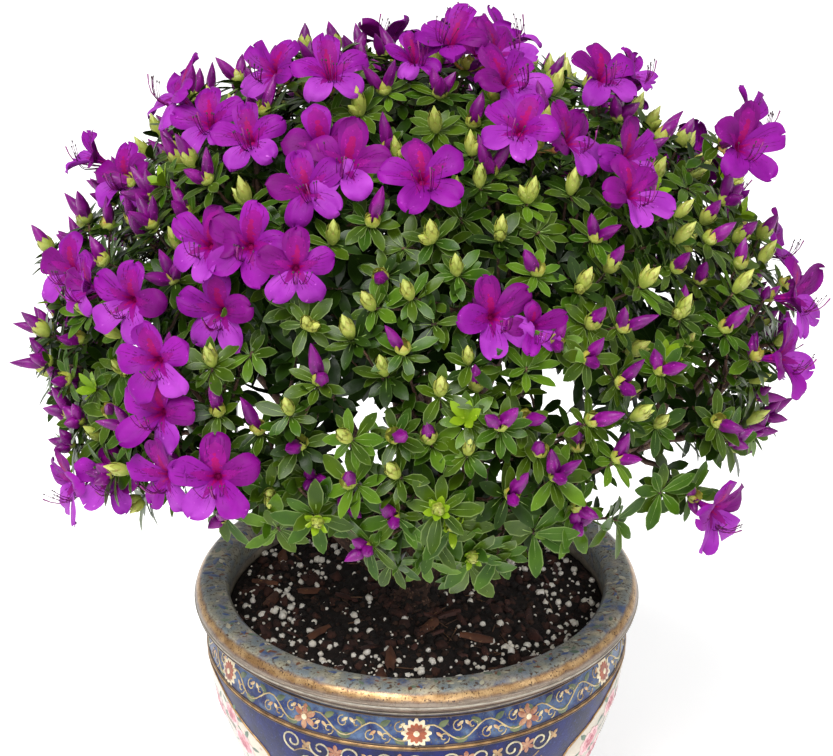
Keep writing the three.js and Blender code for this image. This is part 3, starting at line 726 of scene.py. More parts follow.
straws = scattered(STRAWS, 10, MIX_RADIUS - 14)
straw_turn = rng.uniform(0, 2 * np.pi, STRAWS)
straw_way = np.stack([np.cos(straw_turn), np.sin(straw_turn), rng.normal(0, 0.06, STRAWS)], axis=-1)
straw_length = rng.uniform(8, 26, STRAWS)[:, None, None]
straw_reach = straw_way[:, None] * straw_length * np.linspace(-0.5, 0.5, 5)[:, None]
straw_finish = finish("straw", (112, 80, 56), (66, 46, 36), (150, 120, 84), 80, 0.8)
straw_radii = [0.35, 0.55, 0.6, 0.5, 0.3]
limbs("straws", straws[:, None] + straw_reach + (0, 0, 1.4), straw_radii, 5, straw_finish, "potting_mix")

dead_places = scattered(DEAD_LEAVES, 40, MIX_RADIUS - 20) + (0, 0, 2.2)
dead_lengths = rng.uniform(20, 30, DEAD_LEAVES)
dead_grid = chips(dead_places, dead_lengths, rng.uniform(7, 10, DEAD_LEAVES), 0.12, 7, 5)
points, faces = lenses(dead_grid, 0.6 * MM)
dead_finish = finish("dead_leaf", (112, 68, 44), (78, 46, 33), (146, 104, 68), 60, 0.7)
piece("dead_leaves", points, faces, dead_finish, "potting_mix", sharp=60)


# ---- Trunk and boughs ----
# The plant's own wood: a short stem with a flared foot that forks into fourteen boughs, in thin
# red-brown bark with fine upright furrows. Each bough starts inside the trunk.
TRUNK_FOOT = np.array([0, 0, 231.3])
TRUNK_LEAN = np.array([4, -3, 0.0])
TRUNK_TIP = np.array([0, 0, 300]) + TRUNK_LEAN
TRUNK_FOOT_RADIUS, TRUNK_RADIUS, TRUNK_TIP_RADIUS = 23, 13, 9.5
FLARE_SHARE = 0.4
TRUNK_CUT_Z = 230  # the flat cut, below which nothing of the trunk reaches
FORK = np.array([0, 0, 266]) + 0.6 * TRUNK_LEAN
BOUGH_STARTS = {"low": (243, 256), "mid": (268, 281), "top": (292, 292)}
BOUGH_RADII = {"low": (5, 3.8), "mid": (4.7, 3.8), "top": (5.2, 3.8)}
RINGS = [("low", 8, 3, 12), ("mid", 5, 45, 30), ("top", 1, 90, 0)]  # masses, elevation, turn
CROWN_CENTRE = np.array([0, 0, 452.0])
SHOOT_SIDE, SHOOT_DEPTH, SHOOT_UP, SHOOT_DOWN = 264, 236, 206, 190
BOUGH_SHARE, STEM_SHARE = 0.47, 0.78
UP = np.array([0, 0, 1.0])
ROUTE_STEPS = 25
ANY_TURN = 6.28  # radians, the top of a random turn


def chance(a, b):
    """A repeatable number from 0 to 1 for a pair of numbers: the tail of a large sine."""
    return (math.sin(a * 12.9898 + b * 78.233) * 43758.5453) % 1


def crown_point(azimuth, elevation, reach):
    """A point of the surface where shoots end: half an ellipsoid above and a flatter one below.
    Azimuth 0 is the front and 90 the right."""
    a, e = math.radians(azimuth), math.radians(elevation)
    rise = SHOOT_UP if elevation > 0 else SHOOT_DOWN
    outward = np.array([SHOOT_SIDE * math.cos(e) * math.sin(a), -SHOOT_DEPTH * math.cos(e) * math.cos(a),
                        rise * math.sin(e)])
    return CROWN_CENTRE + reach * outward


def evenly(route, steps=ROUTE_STEPS):
    """The same route in even steps along its length."""
    lengths = np.concatenate([[0], np.cumsum(np.linalg.norm(np.diff(route, axis=0), axis=1))])
    wanted = np.linspace(0, lengths[-1], steps)
    return np.stack([np.interp(wanted, lengths, route[:, axis]) for axis in range(3)], axis=-1)


def point_on(route, share):
    """The point at a share of an even route's length."""
    at = min(max(share, 0), 1) * (len(route) - 1)
    low = min(int(at), len(route) - 2)
    return route[low] + (at - low) * (route[low + 1] - route[low])


def way_on(route, share):
    """The direction of a route at a share of its length."""
    return unit(point_on(route, share + 0.03) - point_on(route, share - 0.03))


def bend(start, middle, end):
    """An even route that starts and ends at two points and leans towards the one between."""
    t = np.linspace(0, 1, ROUTE_STEPS)[:, None]
    return evenly((1 - t) ** 2 * start + 2 * t * (1 - t) * middle + t**2 * end)


def square_to(axis, angle):
    """A unit vector square to the axis, turned round it by an angle in radians."""
    guide = np.array([1.0, 0, 0]) if abs(axis[2]) > 0.9 else UP
    side = unit(np.cross(guide, axis))
    return math.cos(angle) * side + math.sin(angle) * np.cross(axis, side)


def make_masses():
    """The masses of the crown, each with the way to its heart, its bough and its inner stem."""
    masses = []
    for ring, count, elevation, turn in RINGS:
        for i in range(count):
            azimuth = turn + 360 * i / count + 7 * (chance(i, count) - 0.5)
            heart = crown_point(azimuth, elevation, 1)
            name = f"{ring}_{i + 1}" if count > 1 else ring
            masses.append({"name": name, "ring": ring, "heart": heart, "aim": unit(heart - FORK)})
    for index, mass in enumerate(masses):
        start_z = BOUGH_STARTS[mass["ring"]][index % 2]
        share = (start_z - TRUNK_FOOT[2]) / (TRUNK_TIP[2] - TRUNK_FOOT[2])
        start = np.array([0, 0, start_z]) + share * TRUNK_LEAN
        end = FORK + BOUGH_SHARE * (mass["heart"] - FORK)
        length = np.linalg.norm(end - start)
        crook = length * 0.05 * (chance(index, 7) - 0.5) * square_to(mass["aim"], 0)
        lower = start + 0.33 * (end - start) - 0.05 * length * UP + crook
        upper = start + 0.68 * (end - start) - 0.02 * length * UP - crook
        mass["bough"] = evenly(through([start, lower, upper, end], 12))
        onward = way_on(mass["bough"], 1)
        reach = FORK + STEM_SHARE * (mass["heart"] - FORK)
        middle = end + 0.45 * np.linalg.norm(reach - end) * onward
        mass["stem"] = bend(end, middle, reach)
    return masses


masses = make_masses()
aims = np.array([mass["aim"] for mass in masses])


def bark_relief(count, steps, sides, depth):
    """How bark swells a limb at each point of its rings: furrows that wander, one soft knot, and
    a little noise. A furrow is a wave round the limb whose phase drifts along it."""
    along = np.linspace(0, 1, steps)[None, :, None]
    turn = 2 * np.pi * np.arange(sides)[None, None] / sides
    start = rng.uniform(0, ANY_TURN, (count, 1, 1))
    furrows = np.sin(3 * turn + 5 * along + start) + 0.7 * np.sin(5 * turn - 9 * along + 2 * start)
    knot = np.exp(-(((along - rng.uniform(0.2, 0.8, (count, 1, 1))) / 0.05) ** 2))
    return 1 + depth * (0.5 * furrows + knot + rng.normal(0, 0.35, (count, steps, sides)))


bark = finish("bark", (74, 50, 38), (44, 30, 24), (112, 84, 66), 130, 0.85, bump=0.9,
              stretch=(1, 1, 0.35), fleck_share=0.18)
TRUNK_STEPS, TRUNK_SIDES = 48, 40
height_share = np.linspace(0, 1, TRUNK_STEPS)
trunk_route = TRUNK_FOOT + height_share[:, None] * (TRUNK_TIP - TRUNK_FOOT)
flare = np.maximum(0, 1 - height_share / FLARE_SHARE) ** 2
trunk_radius = TRUNK_RADIUS + (TRUNK_TIP_RADIUS - TRUNK_RADIUS) * height_share
trunk_turn = 2 * np.pi * np.arange(TRUNK_SIDES) / TRUNK_SIDES
lobes = 1 + 0.16 * np.sin(4 * trunk_turn + 0.7) + 0.1 * np.sin(7 * trunk_turn)
trunk_radii = trunk_radius[:, None] + (TRUNK_FOOT_RADIUS - TRUNK_RADIUS) * flare[:, None] * lobes
trunk_radii = trunk_radii[None] * bark_relief(1, TRUNK_STEPS, TRUNK_SIDES, 0.045)
points, faces = tubes(trunk_route[None] * MM, trunk_radii * MM, TRUNK_SIDES)
points[:, 2] = np.maximum(points[:, 2], TRUNK_CUT_Z * MM)
piece("trunk_bark", points, faces, bark, "bark", replaces=["trunk"])

BOUGH_STEPS, BOUGH_SIDES = 60, 14
bough_routes = np.array([evenly(mass["bough"], BOUGH_STEPS) for mass in masses])
bough_radii = np.array([np.linspace(*BOUGH_RADII[mass["ring"]], BOUGH_STEPS) for mass in masses])
bough_radii = bough_radii[..., None] * bark_relief(len(masses), BOUGH_STEPS, BOUGH_SIDES, 0.07)
bough_nodes = ["bough_" + mass["name"] for mass in masses]
limbs("bough_bark", bough_routes, bough_radii, BOUGH_SIDES, bark, "bark", replaces=bough_nodes)


# ---- Twigs ----
# Each mass has an inner stem. Twigs leave it for the shoots that end on the crown's surface, and
# finer ones leave those, all in red-brown bark.
LOWEST_SHOOT, FRONT_LIFT = -30, 18
SPIRAL_SHOOTS = 80
GOLDEN_ANGLE = 180 * (3 - math.sqrt(5))
# The mm round an open truss where no main shoot, no listed bud and no fine shoot's bud stands.
TRUSS_SPACE, BUD_TRUSS_SPACE, LEAFY_TRUSS_SPACE = 36, 24, 31
EDGE_SPACE = 20  # mm that a main shoot's end stays inside its own mass
BACK_BLOOM = 0.32  # share of the back's main shoots that are in flower
# Layers of finer shoots: how many are tried, their reach and its play, their least spacing, and
# the elevation below which only a share of them, LOW_KEPT, is kept.
LAYERS = [
    ("fine", 900, 0.93, 0.10, 21, -90),
    ("inner", 620, 0.76, 0.14, 20, 15),
    ("deep", 190, 0.52, 0.14, 30, 22),
]
LOW_KEPT = 0.4
# The right flank is thin low down: the azimuths between which and the elevation below which it
# lies, and the share of finer shoots kept on it. Every second main shoot of its gap is left out.
FLANK_START, FLANK_END, FLANK_TOP, FLANK_KEPT = 30, 125, 11, 0.24
GAP_START, GAP_END, GAP_TOP = 44, 80, 6
# Shoots of the low front that hang over the mix: azimuth, elevation and kind. Small ones end in
# little buds, lime ones in a green bud in young leaves, fresh and leafy ones in leaves alone.
LOW_FRONT = [
    (-7, -14, "small"), (8, -16, "lime"), (2, -12, "fresh"), (17, -12, "fresh"), (-14, -8, "lime"),
    (24, -9, "small"), (5, -8, "lime"), (12, -17, "leafy"), (1, -18, "leafy"), (8, -21, "fresh"),
    (-9, -12, "leafy"), (31, -13, "leafy"), (-29, -11, "small"), (-3, -6, "small"), (38, -9, "leafy"),
    (-26, -13, "leafy"), (-20, -12, "leafy"), (28, -14, "leafy"), (22, -13, "leafy"),
    (-4, -19, "leafy"),
]
# Buds that stand out in front: azimuth and elevation.
FRONT_BUDS = {
    "purple": [
        (-23, 78), (-82, 80), (15, 77), (-9, 47), (0, 49), (35, 41), (21, 37), (33, 25), (26, 21),
        (38, 16), (-2, 25), (-14, 19), (-9, 1), (-3, 10), (25, 10), (29, 2), (17, 6), (13, -2),
        (23, -7), (80, 58), (84, 50), (80, 35), (62, 33), (67, 26), (49, 2), (31, 75), (-57, 38),
        (-25, 33),
    ],
    "green": [
        (-5, 60), (7, 67), (15, 54), (16, 61), (16, 44), (-16, 43), (7, 38), (-7, 32), (-1, 34),
        (-17, 28), (-10, 27), (28, 33), (45, 24), (40, 31), (53, 36), (78, 22), (3, 44), (7, 7),
        (-18, 13), (25, 50), (36, 50), (32, 9),
    ],
}
# Open trusses of the front: azimuth, elevation, how many blossoms each one has, and its reach.
FRONT_TRUSSES = [
    (-80, 66, 1, 1.05), (-72, 58, 2, 1.04), (-48, 57, 1, 1), (-54, 74, 1, 1), (-24, 62, 1, 1),
    (-15, 57, 1, 1), (-25, 51, 1, 1), (-10, 84, 1, 1), (68, 82, 2, 1.02), (86, 66, 2, 1.04),
    (46, 70, 1, 1), (36, 60, 2, 1), (56, 54, 1, 1), (44, 46, 1, 1), (80, 44, 2, 1.12), (72, 17, 1, 1),
    (61, 10, 1, 1), (46, -14, 1, 1), (-78, 38, 2, 1), (-68, 28, 1, 1), (-52, 26, 2, 1), (-38, 38, 1, 1),
    (-31, 40, 1, 1), (-22, 38, 1, 1), (-34, 27, 1, 0.9), (-38, 19, 1, 1.04), (-37, 9, 1, 1),
    (-58, -15, 2, 0.96), (-31, -1, 2, 1), (10, 29, 1, 0.9), (17, 26, 1, 0.9), (0, 54, 1, 0.98),
]


def spiral(count, turn=0.0):
    """Azimuths and elevations of a golden spiral over the crown, from its top to its skirt, which
    is higher in front."""
    for i in range(count):
        rise = 1 - (i + 0.5) / count * (1 - math.sin(math.radians(LOWEST_SHOOT)))
        azimuth = (turn + i * GOLDEN_ANGLE) % 360
        elevation = math.degrees(math.asin(rise))
        front = math.cos(math.radians(azimuth))
        if elevation >= LOWEST_SHOOT + FRONT_LIFT * max(0, front):
            yield i, azimuth, elevation, front


def lumps(azimuth, elevation):
    """How far the crown's surface stands out or in at a place: two slow waves round it."""
    a, e = math.radians(azimuth), math.radians(elevation)
    return 0.03 * math.sin(4 * a + 1.4) * math.cos(3 * e) + 0.025 * math.sin(7 * a - 5 * e + 0.6) - 0.01


def near(end, others, space):
    """Whether any other shoot ends within some space of this end."""
    if not others:
        return False
    ends = np.array([other["end"] for other in others])
    return np.min(np.linalg.norm(ends - end, axis=1)) < space


def depth_inside(own, place):
    """How deep a point lies in the space of a mass: the least way to a plane halfway between its
    aim and another's."""
    others = np.delete(aims, own, axis=0)
    return np.min(unit(aims[own] - others) @ (place - FORK))


def root_on_stem(shoot):
    """Gives a main shoot its mass and its twig, which leaves the mass's inner stem. An end near
    the mass's edge is drawn in towards its heart."""
    own = int(np.argmax(aims @ (shoot["end"] - FORK)))
    heart, stem = masses[own]["heart"], masses[own]["stem"]
    places = [shoot["end"] + share * (heart - shoot["end"]) for share in (0, 0.1, 0.2, 0.3)]
    kept = [place for place in places if depth_inside(own, place) > EDGE_SPACE]
    shoot["end"], shoot["mass"] = (kept or places[-1:])[0], own
    spread = math.acos(min(1, unit(shoot["end"] - FORK) @ aims[own]))
    share = min(max(1 - spread / math.radians(26), 0.12), 0.97)
    start = point_on(stem, share)
    middle = start + 0.35 * np.linalg.norm(shoot["end"] - start) * way_on(stem, share)
    shoot["twig"] = bend(start, middle, shoot["end"])


def main_shoots():
    """The open trusses of the front, and all main shoots: these trusses, and between them the
    shoots of a spiral over the whole crown."""
    trusses = []
    for azimuth, elevation, blossoms, reach in FRONT_TRUSSES:
        end, front = crown_point(azimuth, elevation, reach), math.cos(math.radians(azimuth))
        trusses.append({"end": end, "kind": "open", "blossoms": blossoms, "level": "main",
                        "elevation": elevation, "front": front})
    shoots = list(trusses)
    for i, azimuth, elevation, front in spiral(SPIRAL_SHOOTS):
        end = crown_point(azimuth, elevation, 0.95 + 0.08 * chance(i, 3) + lumps(azimuth, elevation))
        in_gap = GAP_START < azimuth < GAP_END and elevation < GAP_TOP
        if near(end, trusses, TRUSS_SPACE) or in_gap and i % 2:
            continue
        kind = "open" if front < -0.1 and chance(i, 5) < BACK_BLOOM else "bud"
        shoots.append({"end": end, "kind": kind, "blossoms": 1 + int(2.4 * chance(i, 8)),
                       "level": "main", "elevation": elevation, "front": front})
    for shoot in shoots:
        root_on_stem(shoot)
    return trusses, shoots


def finer_places(trusses):
    """Where finer shoots are tried, the listed ones first, then the layers. Each is its level,
    number, azimuth, elevation, reach, kind, how far in front it is, and its least spacing."""
    for i, (azimuth, elevation, kind) in enumerate(LOW_FRONT):
        yield "fine", i, azimuth, elevation, 1.0, kind, math.cos(math.radians(azimuth)), 16
    for kind, places in FRONT_BUDS.items():
        for i, (azimuth, elevation) in enumerate(places):
            if not near(crown_point(azimuth, elevation, 1), trusses, BUD_TRUSS_SPACE):
                yield "fine", i + 100, azimuth, elevation, 1.0, kind, math.cos(math.radians(azimuth)), 12
    for level, count, least, play, space, open_below in LAYERS:
        for i, azimuth, elevation, front in spiral(count, 77.0):
            on_flank = FLANK_START < azimuth < FLANK_END and elevation < FLANK_TOP
            thinned = elevation < open_below and chance(i, 31) > LOW_KEPT
            if thinned or on_flank and chance(i, 37) > FLANK_KEPT:
                continue
            azimuth, elevation = azimuth + 5 * chance(i, 19), elevation + 4 * (chance(i, 23) - 0.5)
            reach = least + play * chance(i, 13) + lumps(azimuth, elevation) * (level != "deep")
            kind = "bud" if level == "fine" else "leafy"
            if level == "fine" and near(crown_point(azimuth, elevation, 1), trusses, LEAFY_TRUSS_SPACE):
                reach, kind = reach - 0.07, "leafy"
            yield level, i, azimuth, elevation, reach, kind, front, space


def make_shoots():
    """All shoots, each with its end, its mass, its twig, the way it faces, its kind and its
    level. A finer one leaves the twig of the nearest main shoot of its own mass."""
    trusses, main = main_shoots()
    shoots = list(main)
    for level, i, azimuth, elevation, reach, kind, front, space in finer_places(trusses):
        end = crown_point(azimuth, elevation, reach)
        if near(end, shoots, space):
            continue
        own = int(np.argmax(aims @ (end - FORK)))
        parents = [shoot for shoot in main if shoot["mass"] == own] or main
        parent = min(parents, key=lambda shoot: np.linalg.norm(shoot["end"] - end))
        share = 0.35 + 0.3 * chance(i, 29)
        start = point_on(parent["twig"], share)
        middle = start + 0.35 * np.linalg.norm(end - start) * way_on(parent["twig"], share)
        shoots.append({"end": end, "kind": kind, "blossoms": 0, "level": level, "elevation": elevation,
                       "front": front, "mass": own, "twig": bend(start, middle, end)})
    for shoot in shoots:
        outward = unit(shoot["end"] - CROWN_CENTRE)
        shoot["face"] = unit(0.45 * way_on(shoot["twig"], 1) + 0.75 * outward + 0.3 * UP)
    return shoots


shoots = make_shoots()
rng = np.random.default_rng(21)
twig_bark = finish("twig_bark", (78, 50, 36), (50, 32, 25), (118, 92, 62), 90, 0.75, bump=0.6,
                   fleck_share=0.16)
stem_routes = np.array([mass["stem"] for mass in masses])
STEM_SIDES = 10
stem_relief = bark_relief(len(masses), ROUTE_STEPS, STEM_SIDES, 0.06)
stem_radii = np.linspace(3.7, 2.5, ROUTE_STEPS)[:, None] * stem_relief
foliage_nodes = ["foliage_" + mass["name"] for mass in masses]
limbs("inner_stems", stem_routes, stem_radii, STEM_SIDES, bark, replaces=foliage_nodes)

# Twigs of each level: radius at the root and at the tip, and sides.
TWIGS = {"main": (2.3, 1.5, 7), "fine": (1.5, 0.95, 5), "inner": (1.2, 0.8, 4), "deep": (1.2, 0.8, 4)}
TWIG_STEPS = 9
twig_bow = np.sin(np.linspace(0, np.pi, TWIG_STEPS))[:, None]
for level, (thick, thin, sides) in TWIGS.items():
    routes = np.array([evenly(shoot["twig"], TWIG_STEPS) for shoot in shoots if shoot["level"] == level])
    sway = rng.normal(0, 1.1, (len(routes), TWIG_STEPS, 3)) * twig_bow
    relief = bark_relief(len(routes), TWIG_STEPS, sides, 0.06)
    radii = np.linspace(thick, thin, TWIG_STEPS)[:, None] * relief
    limbs(f"twigs_{level}", routes + sway, radii, sides, twig_bark)


# ---- Leaves ----
# Small evergreen leaves, about 15 to 37 mm long, glossy above, folded a little along a pale
# midrib and arched down at the tip. They stand in whorls at the shoots' ends and singly along
# the twigs.
LEAF_ROWS = np.array([0.0, 0.16, 0.42, 0.7, 0.9, 1.0])
LEAF_WIDTHS = np.array([0.07, 0.36, 0.88, 0.98, 0.54, 0.05])  # shares of the full width
LEAF_THICK = 0.6
leaf_grown = {tint: [] for tint in ("deep", "dark", "middle", "olive", "light")}
ribbed_leaves = []


def grow_leaf(tint, root, along, up, length, width, arch, ribbed=False):
    """Notes a leaf: where it is rooted, the ways it points and faces, and its size in mm."""
    leaf = np.concatenate([root, along, up, [length, width, arch]])
    leaf_grown[tint].append(leaf)
    if ribbed:
        ribbed_leaves.append(leaf)


def tint_for(shoot):
    """Leaves inside the crown take the darkest tints, as painted shade, and leaves on its young low shoots
    are brighter.
    """
    throw = rng.uniform()
    if shoot["level"] in ("inner", "deep"):
        return "deep" if throw < 0.7 else "dark"
    if shoot["kind"] == "lime":
        return "light" if throw < 0.3 else "middle"
    if shoot["kind"] == "fresh":
        return "light" if throw < 0.5 else "middle"
    if shoot["elevation"] < -4 and shoot["front"] > 0.5:
        return "light" if throw < 0.3 else "middle"
    return "dark" if throw < 0.3 else "middle" if throw < 0.58 else "olive" if throw < 0.84 else "light"


LEAF_LENGTHS = {"main": 22, "fine": 21, "inner": 24, "deep": 33}
FRESH_GROWTH, LOW_GROWTH = 1.42, 1.16  # how much longer young and low leaves are
LOW_ELEVATION = 2
for shoot in shoots:
    face, twig, level = shoot["face"], shoot["twig"], shoot["level"]
    length_mm = np.linalg.norm(np.diff(twig, axis=0), axis=1).sum()
    hidden = level in ("inner", "deep")
    growth = LOW_GROWTH if shoot["elevation"] < LOW_ELEVATION else 1.0
    growth = FRESH_GROWTH if shoot["kind"] in ("lime", "fresh") else growth
    full = LEAF_LENGTHS[level] * growth
    count = 5 if shoot["kind"] == "open" else 7 if hidden else int(rng.integers(7, 10))
    first = rng.uniform(0, ANY_TURN)
    tint = tint_for(shoot)
    for i in range(count):
        turn = first + math.radians(GOLDEN_ANGLE) * i + rng.normal(0, 0.12)
        pitch = math.radians(-4 if shoot["kind"] == "open" else 17) + rng.normal(0, 0.17)
        along = math.cos(pitch) * square_to(face, turn) + math.sin(pitch) * face
        root = point_on(twig, 1 - (0.6 + 0.8 * i) / length_mm)
        length = full * rng.uniform(0.78, 1.14)
        # Some leaves change tint: outside the crown to olive, and inside it to deep, as painted shade.
        own_tint = tint if rng.uniform() < 0.7 else "olive" if not hidden else "deep"
        grow_leaf(own_tint, root, along, face, length, 0.37 * length * rng.uniform(0.86, 1.12),
                  rng.uniform(0.04, 0.22), ribbed=not hidden)
    below = 5 if hidden else int(rng.integers(7, 12))
    for i in range(below):
        share = 1 - (7 + 4.6 * i + rng.uniform(0, 4)) / length_mm
        if share < 0.12:
            break
        onward = way_on(twig, share)
        turn = first + 2.4 * i + rng.normal(0, 0.2)
        pitch = rng.uniform(0.2, 0.85)
        along = math.cos(pitch) * square_to(onward, turn) + math.sin(pitch) * onward
        up = unit(0.6 * onward + 0.6 * UP + 0.3 * unit(shoot["end"] - CROWN_CENTRE))
        length = 0.92 * full * rng.uniform(0.74, 1.08)
        # Side leaves inside the crown are all deep: painted shade.
        side_tint = "deep" if hidden else ("dark", "middle", "olive")[int(2.6 * rng.uniform())]
        root = point_on(twig, share)
        grow_leaf(side_tint, root, along, up, length, 0.4 * length, rng.uniform(0.05, 0.28))


def leaf_middles(grown, rows, widths, crosswise):
    """The middle surfaces of leaves, as grids from root to tip and from edge to edge. Each is
    folded up along its midrib by a tenth of its width, and after a slight rise it is arched down
    as the square of the way."""
    grown = np.array(grown)[:, None, None]
    root, along, up = grown[..., 0:3], grown[..., 3:6], grown[..., 6:9]
    length, width, arch = grown[..., 9], grown[..., 10], grown[..., 11]
    side = unit(np.cross(along, up))
    over = np.cross(side, along)
    share, cross = rows[:, None], crosswise[None]
    spread = 0.5 * width * widths[:, None] * cross
    lift = 0.22 * np.abs(spread) - length * arch * share**2 + 0.05 * length * share
    return root + along * (length * share)[..., None] + side * spread[..., None] + over * lift[..., None]


# The deep tint, the darkest, and the dark one are painted shade on the leaves inside the crown; dark is
# also dealt out on the outside.
green = {
    "deep": ((21, 41, 5), (14, 30, 4), (38, 60, 16)),
    "dark": ((34, 57, 7), (24, 42, 6), (58, 82, 26)),
    "middle": ((58, 89, 12), (40, 68, 10), (96, 122, 38)),
    "olive": ((64, 86, 12), (45, 66, 10), (102, 118, 38)),
    "light": ((84, 115, 24), (62, 92, 18), (124, 145, 52)),
    "new": ((124, 152, 26), (102, 134, 22), (160, 180, 60)),
}
LEAF_SHINE = {"Specular IOR Level": 0.16}
LEAF_COLS = np.linspace(-1, 1, 3)
PALE_EDGE, DARK_EDGE = (0.12, 0.15, 0.06, 1), (0.02, 0.03, 0.01, 1)
leaf_across = np.broadcast_to(np.abs(LEAF_COLS), (len(LEAF_ROWS), len(LEAF_COLS)))
for tint, grown in leaf_grown.items():
    leaf_finish = finish("leaf_" + tint, *green[tint], 40, 0.29, bump=0.35, fleck_share=0.05,
                         shine=LEAF_SHINE)
    middles = leaf_middles(grown, LEAF_ROWS, LEAF_WIDTHS, LEAF_COLS)
    points, faces = lenses(middles * MM, LEAF_THICK * MM)
    fields = {"across": np.tile(lens_field(leaf_across), len(grown))}
    edge_tone = PALE_EDGE if tint in ("middle", "olive", "light") else DARK_EDGE
    blended(leaf_finish, "across", [(0.0, (0, 0, 0, 1)), (0.8, (0, 0, 0, 1)), (1.0, edge_tone)], "SCREEN")
    piece("leaves_" + tint, points, faces, leaf_finish, "foliage", fields=fields, sharp=60)

# A thin pale midrib stands on each leaf of the outer whorls, from its root to near its tip.
rib_rows = np.array([0.02, 0.36, 0.8])
ribbed = np.array(ribbed_leaves)
rib_routes = leaf_middles(ribbed, rib_rows, np.ones(3), np.zeros(1))[:, :, 0]
rib_routes = rib_routes + 0.1 * ribbed[:, None, 6:9]
rib_finish = finish("midrib", (124, 150, 74), (106, 132, 62), (146, 168, 98), 60, 0.5)
limbs("midribs", rib_routes, [0.5, 0.46, 0.28], 3, rib_finish)


# ---- Buds ----
# Flower buds at the shoots' ends: furled purple ones in clusters, plump yellow-green ones in
# overlapping scales, and ones between, whose purple tip comes out of the scales.
BUD_RINGS = np.array([0.0, 0.12, 0.3, 0.5, 0.7, 0.87, 1.0])
BUD_SWELL = np.array([0.3, 0.66, 0.96, 1.0, 0.74, 0.36, 0.05])
BUD_SIDES = 10
# A throw from 0 to 1 chooses a shoot's buds. In the low front they are a green one in young
# leaves, or small ones, below these values.
LIME_BELOW, SMALL_BELOW = 0.15, 0.7
# Elsewhere they are furled below the first value, or the second in the middle and upper right of
# the front. Then come half open ones, green ones up to the last value, and young leaves alone.
FURLED_BELOW, FEW_FURLED_BELOW, HALF_OPEN_SHARE, GREEN_BELOW = 0.56, 0.2, 0.16, 0.94
BARE_SHARE = 0.35  # of the shoots in the middle of the front, which have no buds
furled, cores, small_leaves = [], [], []
scales = {"green": [], "amber": []}


def leaning(upright, face, lean, turn):
    """The upright way with a lean to one side, turned about the way that the shoot faces."""
    return unit(upright + lean * square_to(face, turn))


def grow_bud(root, way, length, radius):
    """Notes a furled bud."""
    furled.append(np.concatenate([root, way, [length, radius]]))


def grow_core(root, way, length, radius):
    """Notes the closed green heart of a bud, a little smaller than the scales that cover it."""
    cores.append(np.concatenate([root, way, [0.97 * length, 0.93 * radius]]))


def grow_small_leaf(root, along, up, length, width):
    """Notes a young leaf, which stands up round a bud."""
    small_leaves.append(np.concatenate([root, along, up, [length, width, 0.08]]))


def grow_scales(kind, root, way, length, radius, rings, reach=1.0, flare=0.0):
    """Notes scales that wrap a bud: rings of five, each ring higher and turned by half a scale.
    The last ring ends at a share of the length, and flare is how far the tips stand off."""
    for ring in range(rings):
        high = reach * (0.58 + 0.42 * (ring + 1) / rings)
        least, most = (0.78, 1.08) if ring < rings - 1 or rings == 1 else (0.92, 1.04)
        for k in range(5):
            turn = 2 * math.pi * (k + 0.5 * ring) / 5
            own = high * rng.uniform(least, most)
            scales[kind].append(np.concatenate([root, way, [length, radius, turn, own, flare, ring]]))


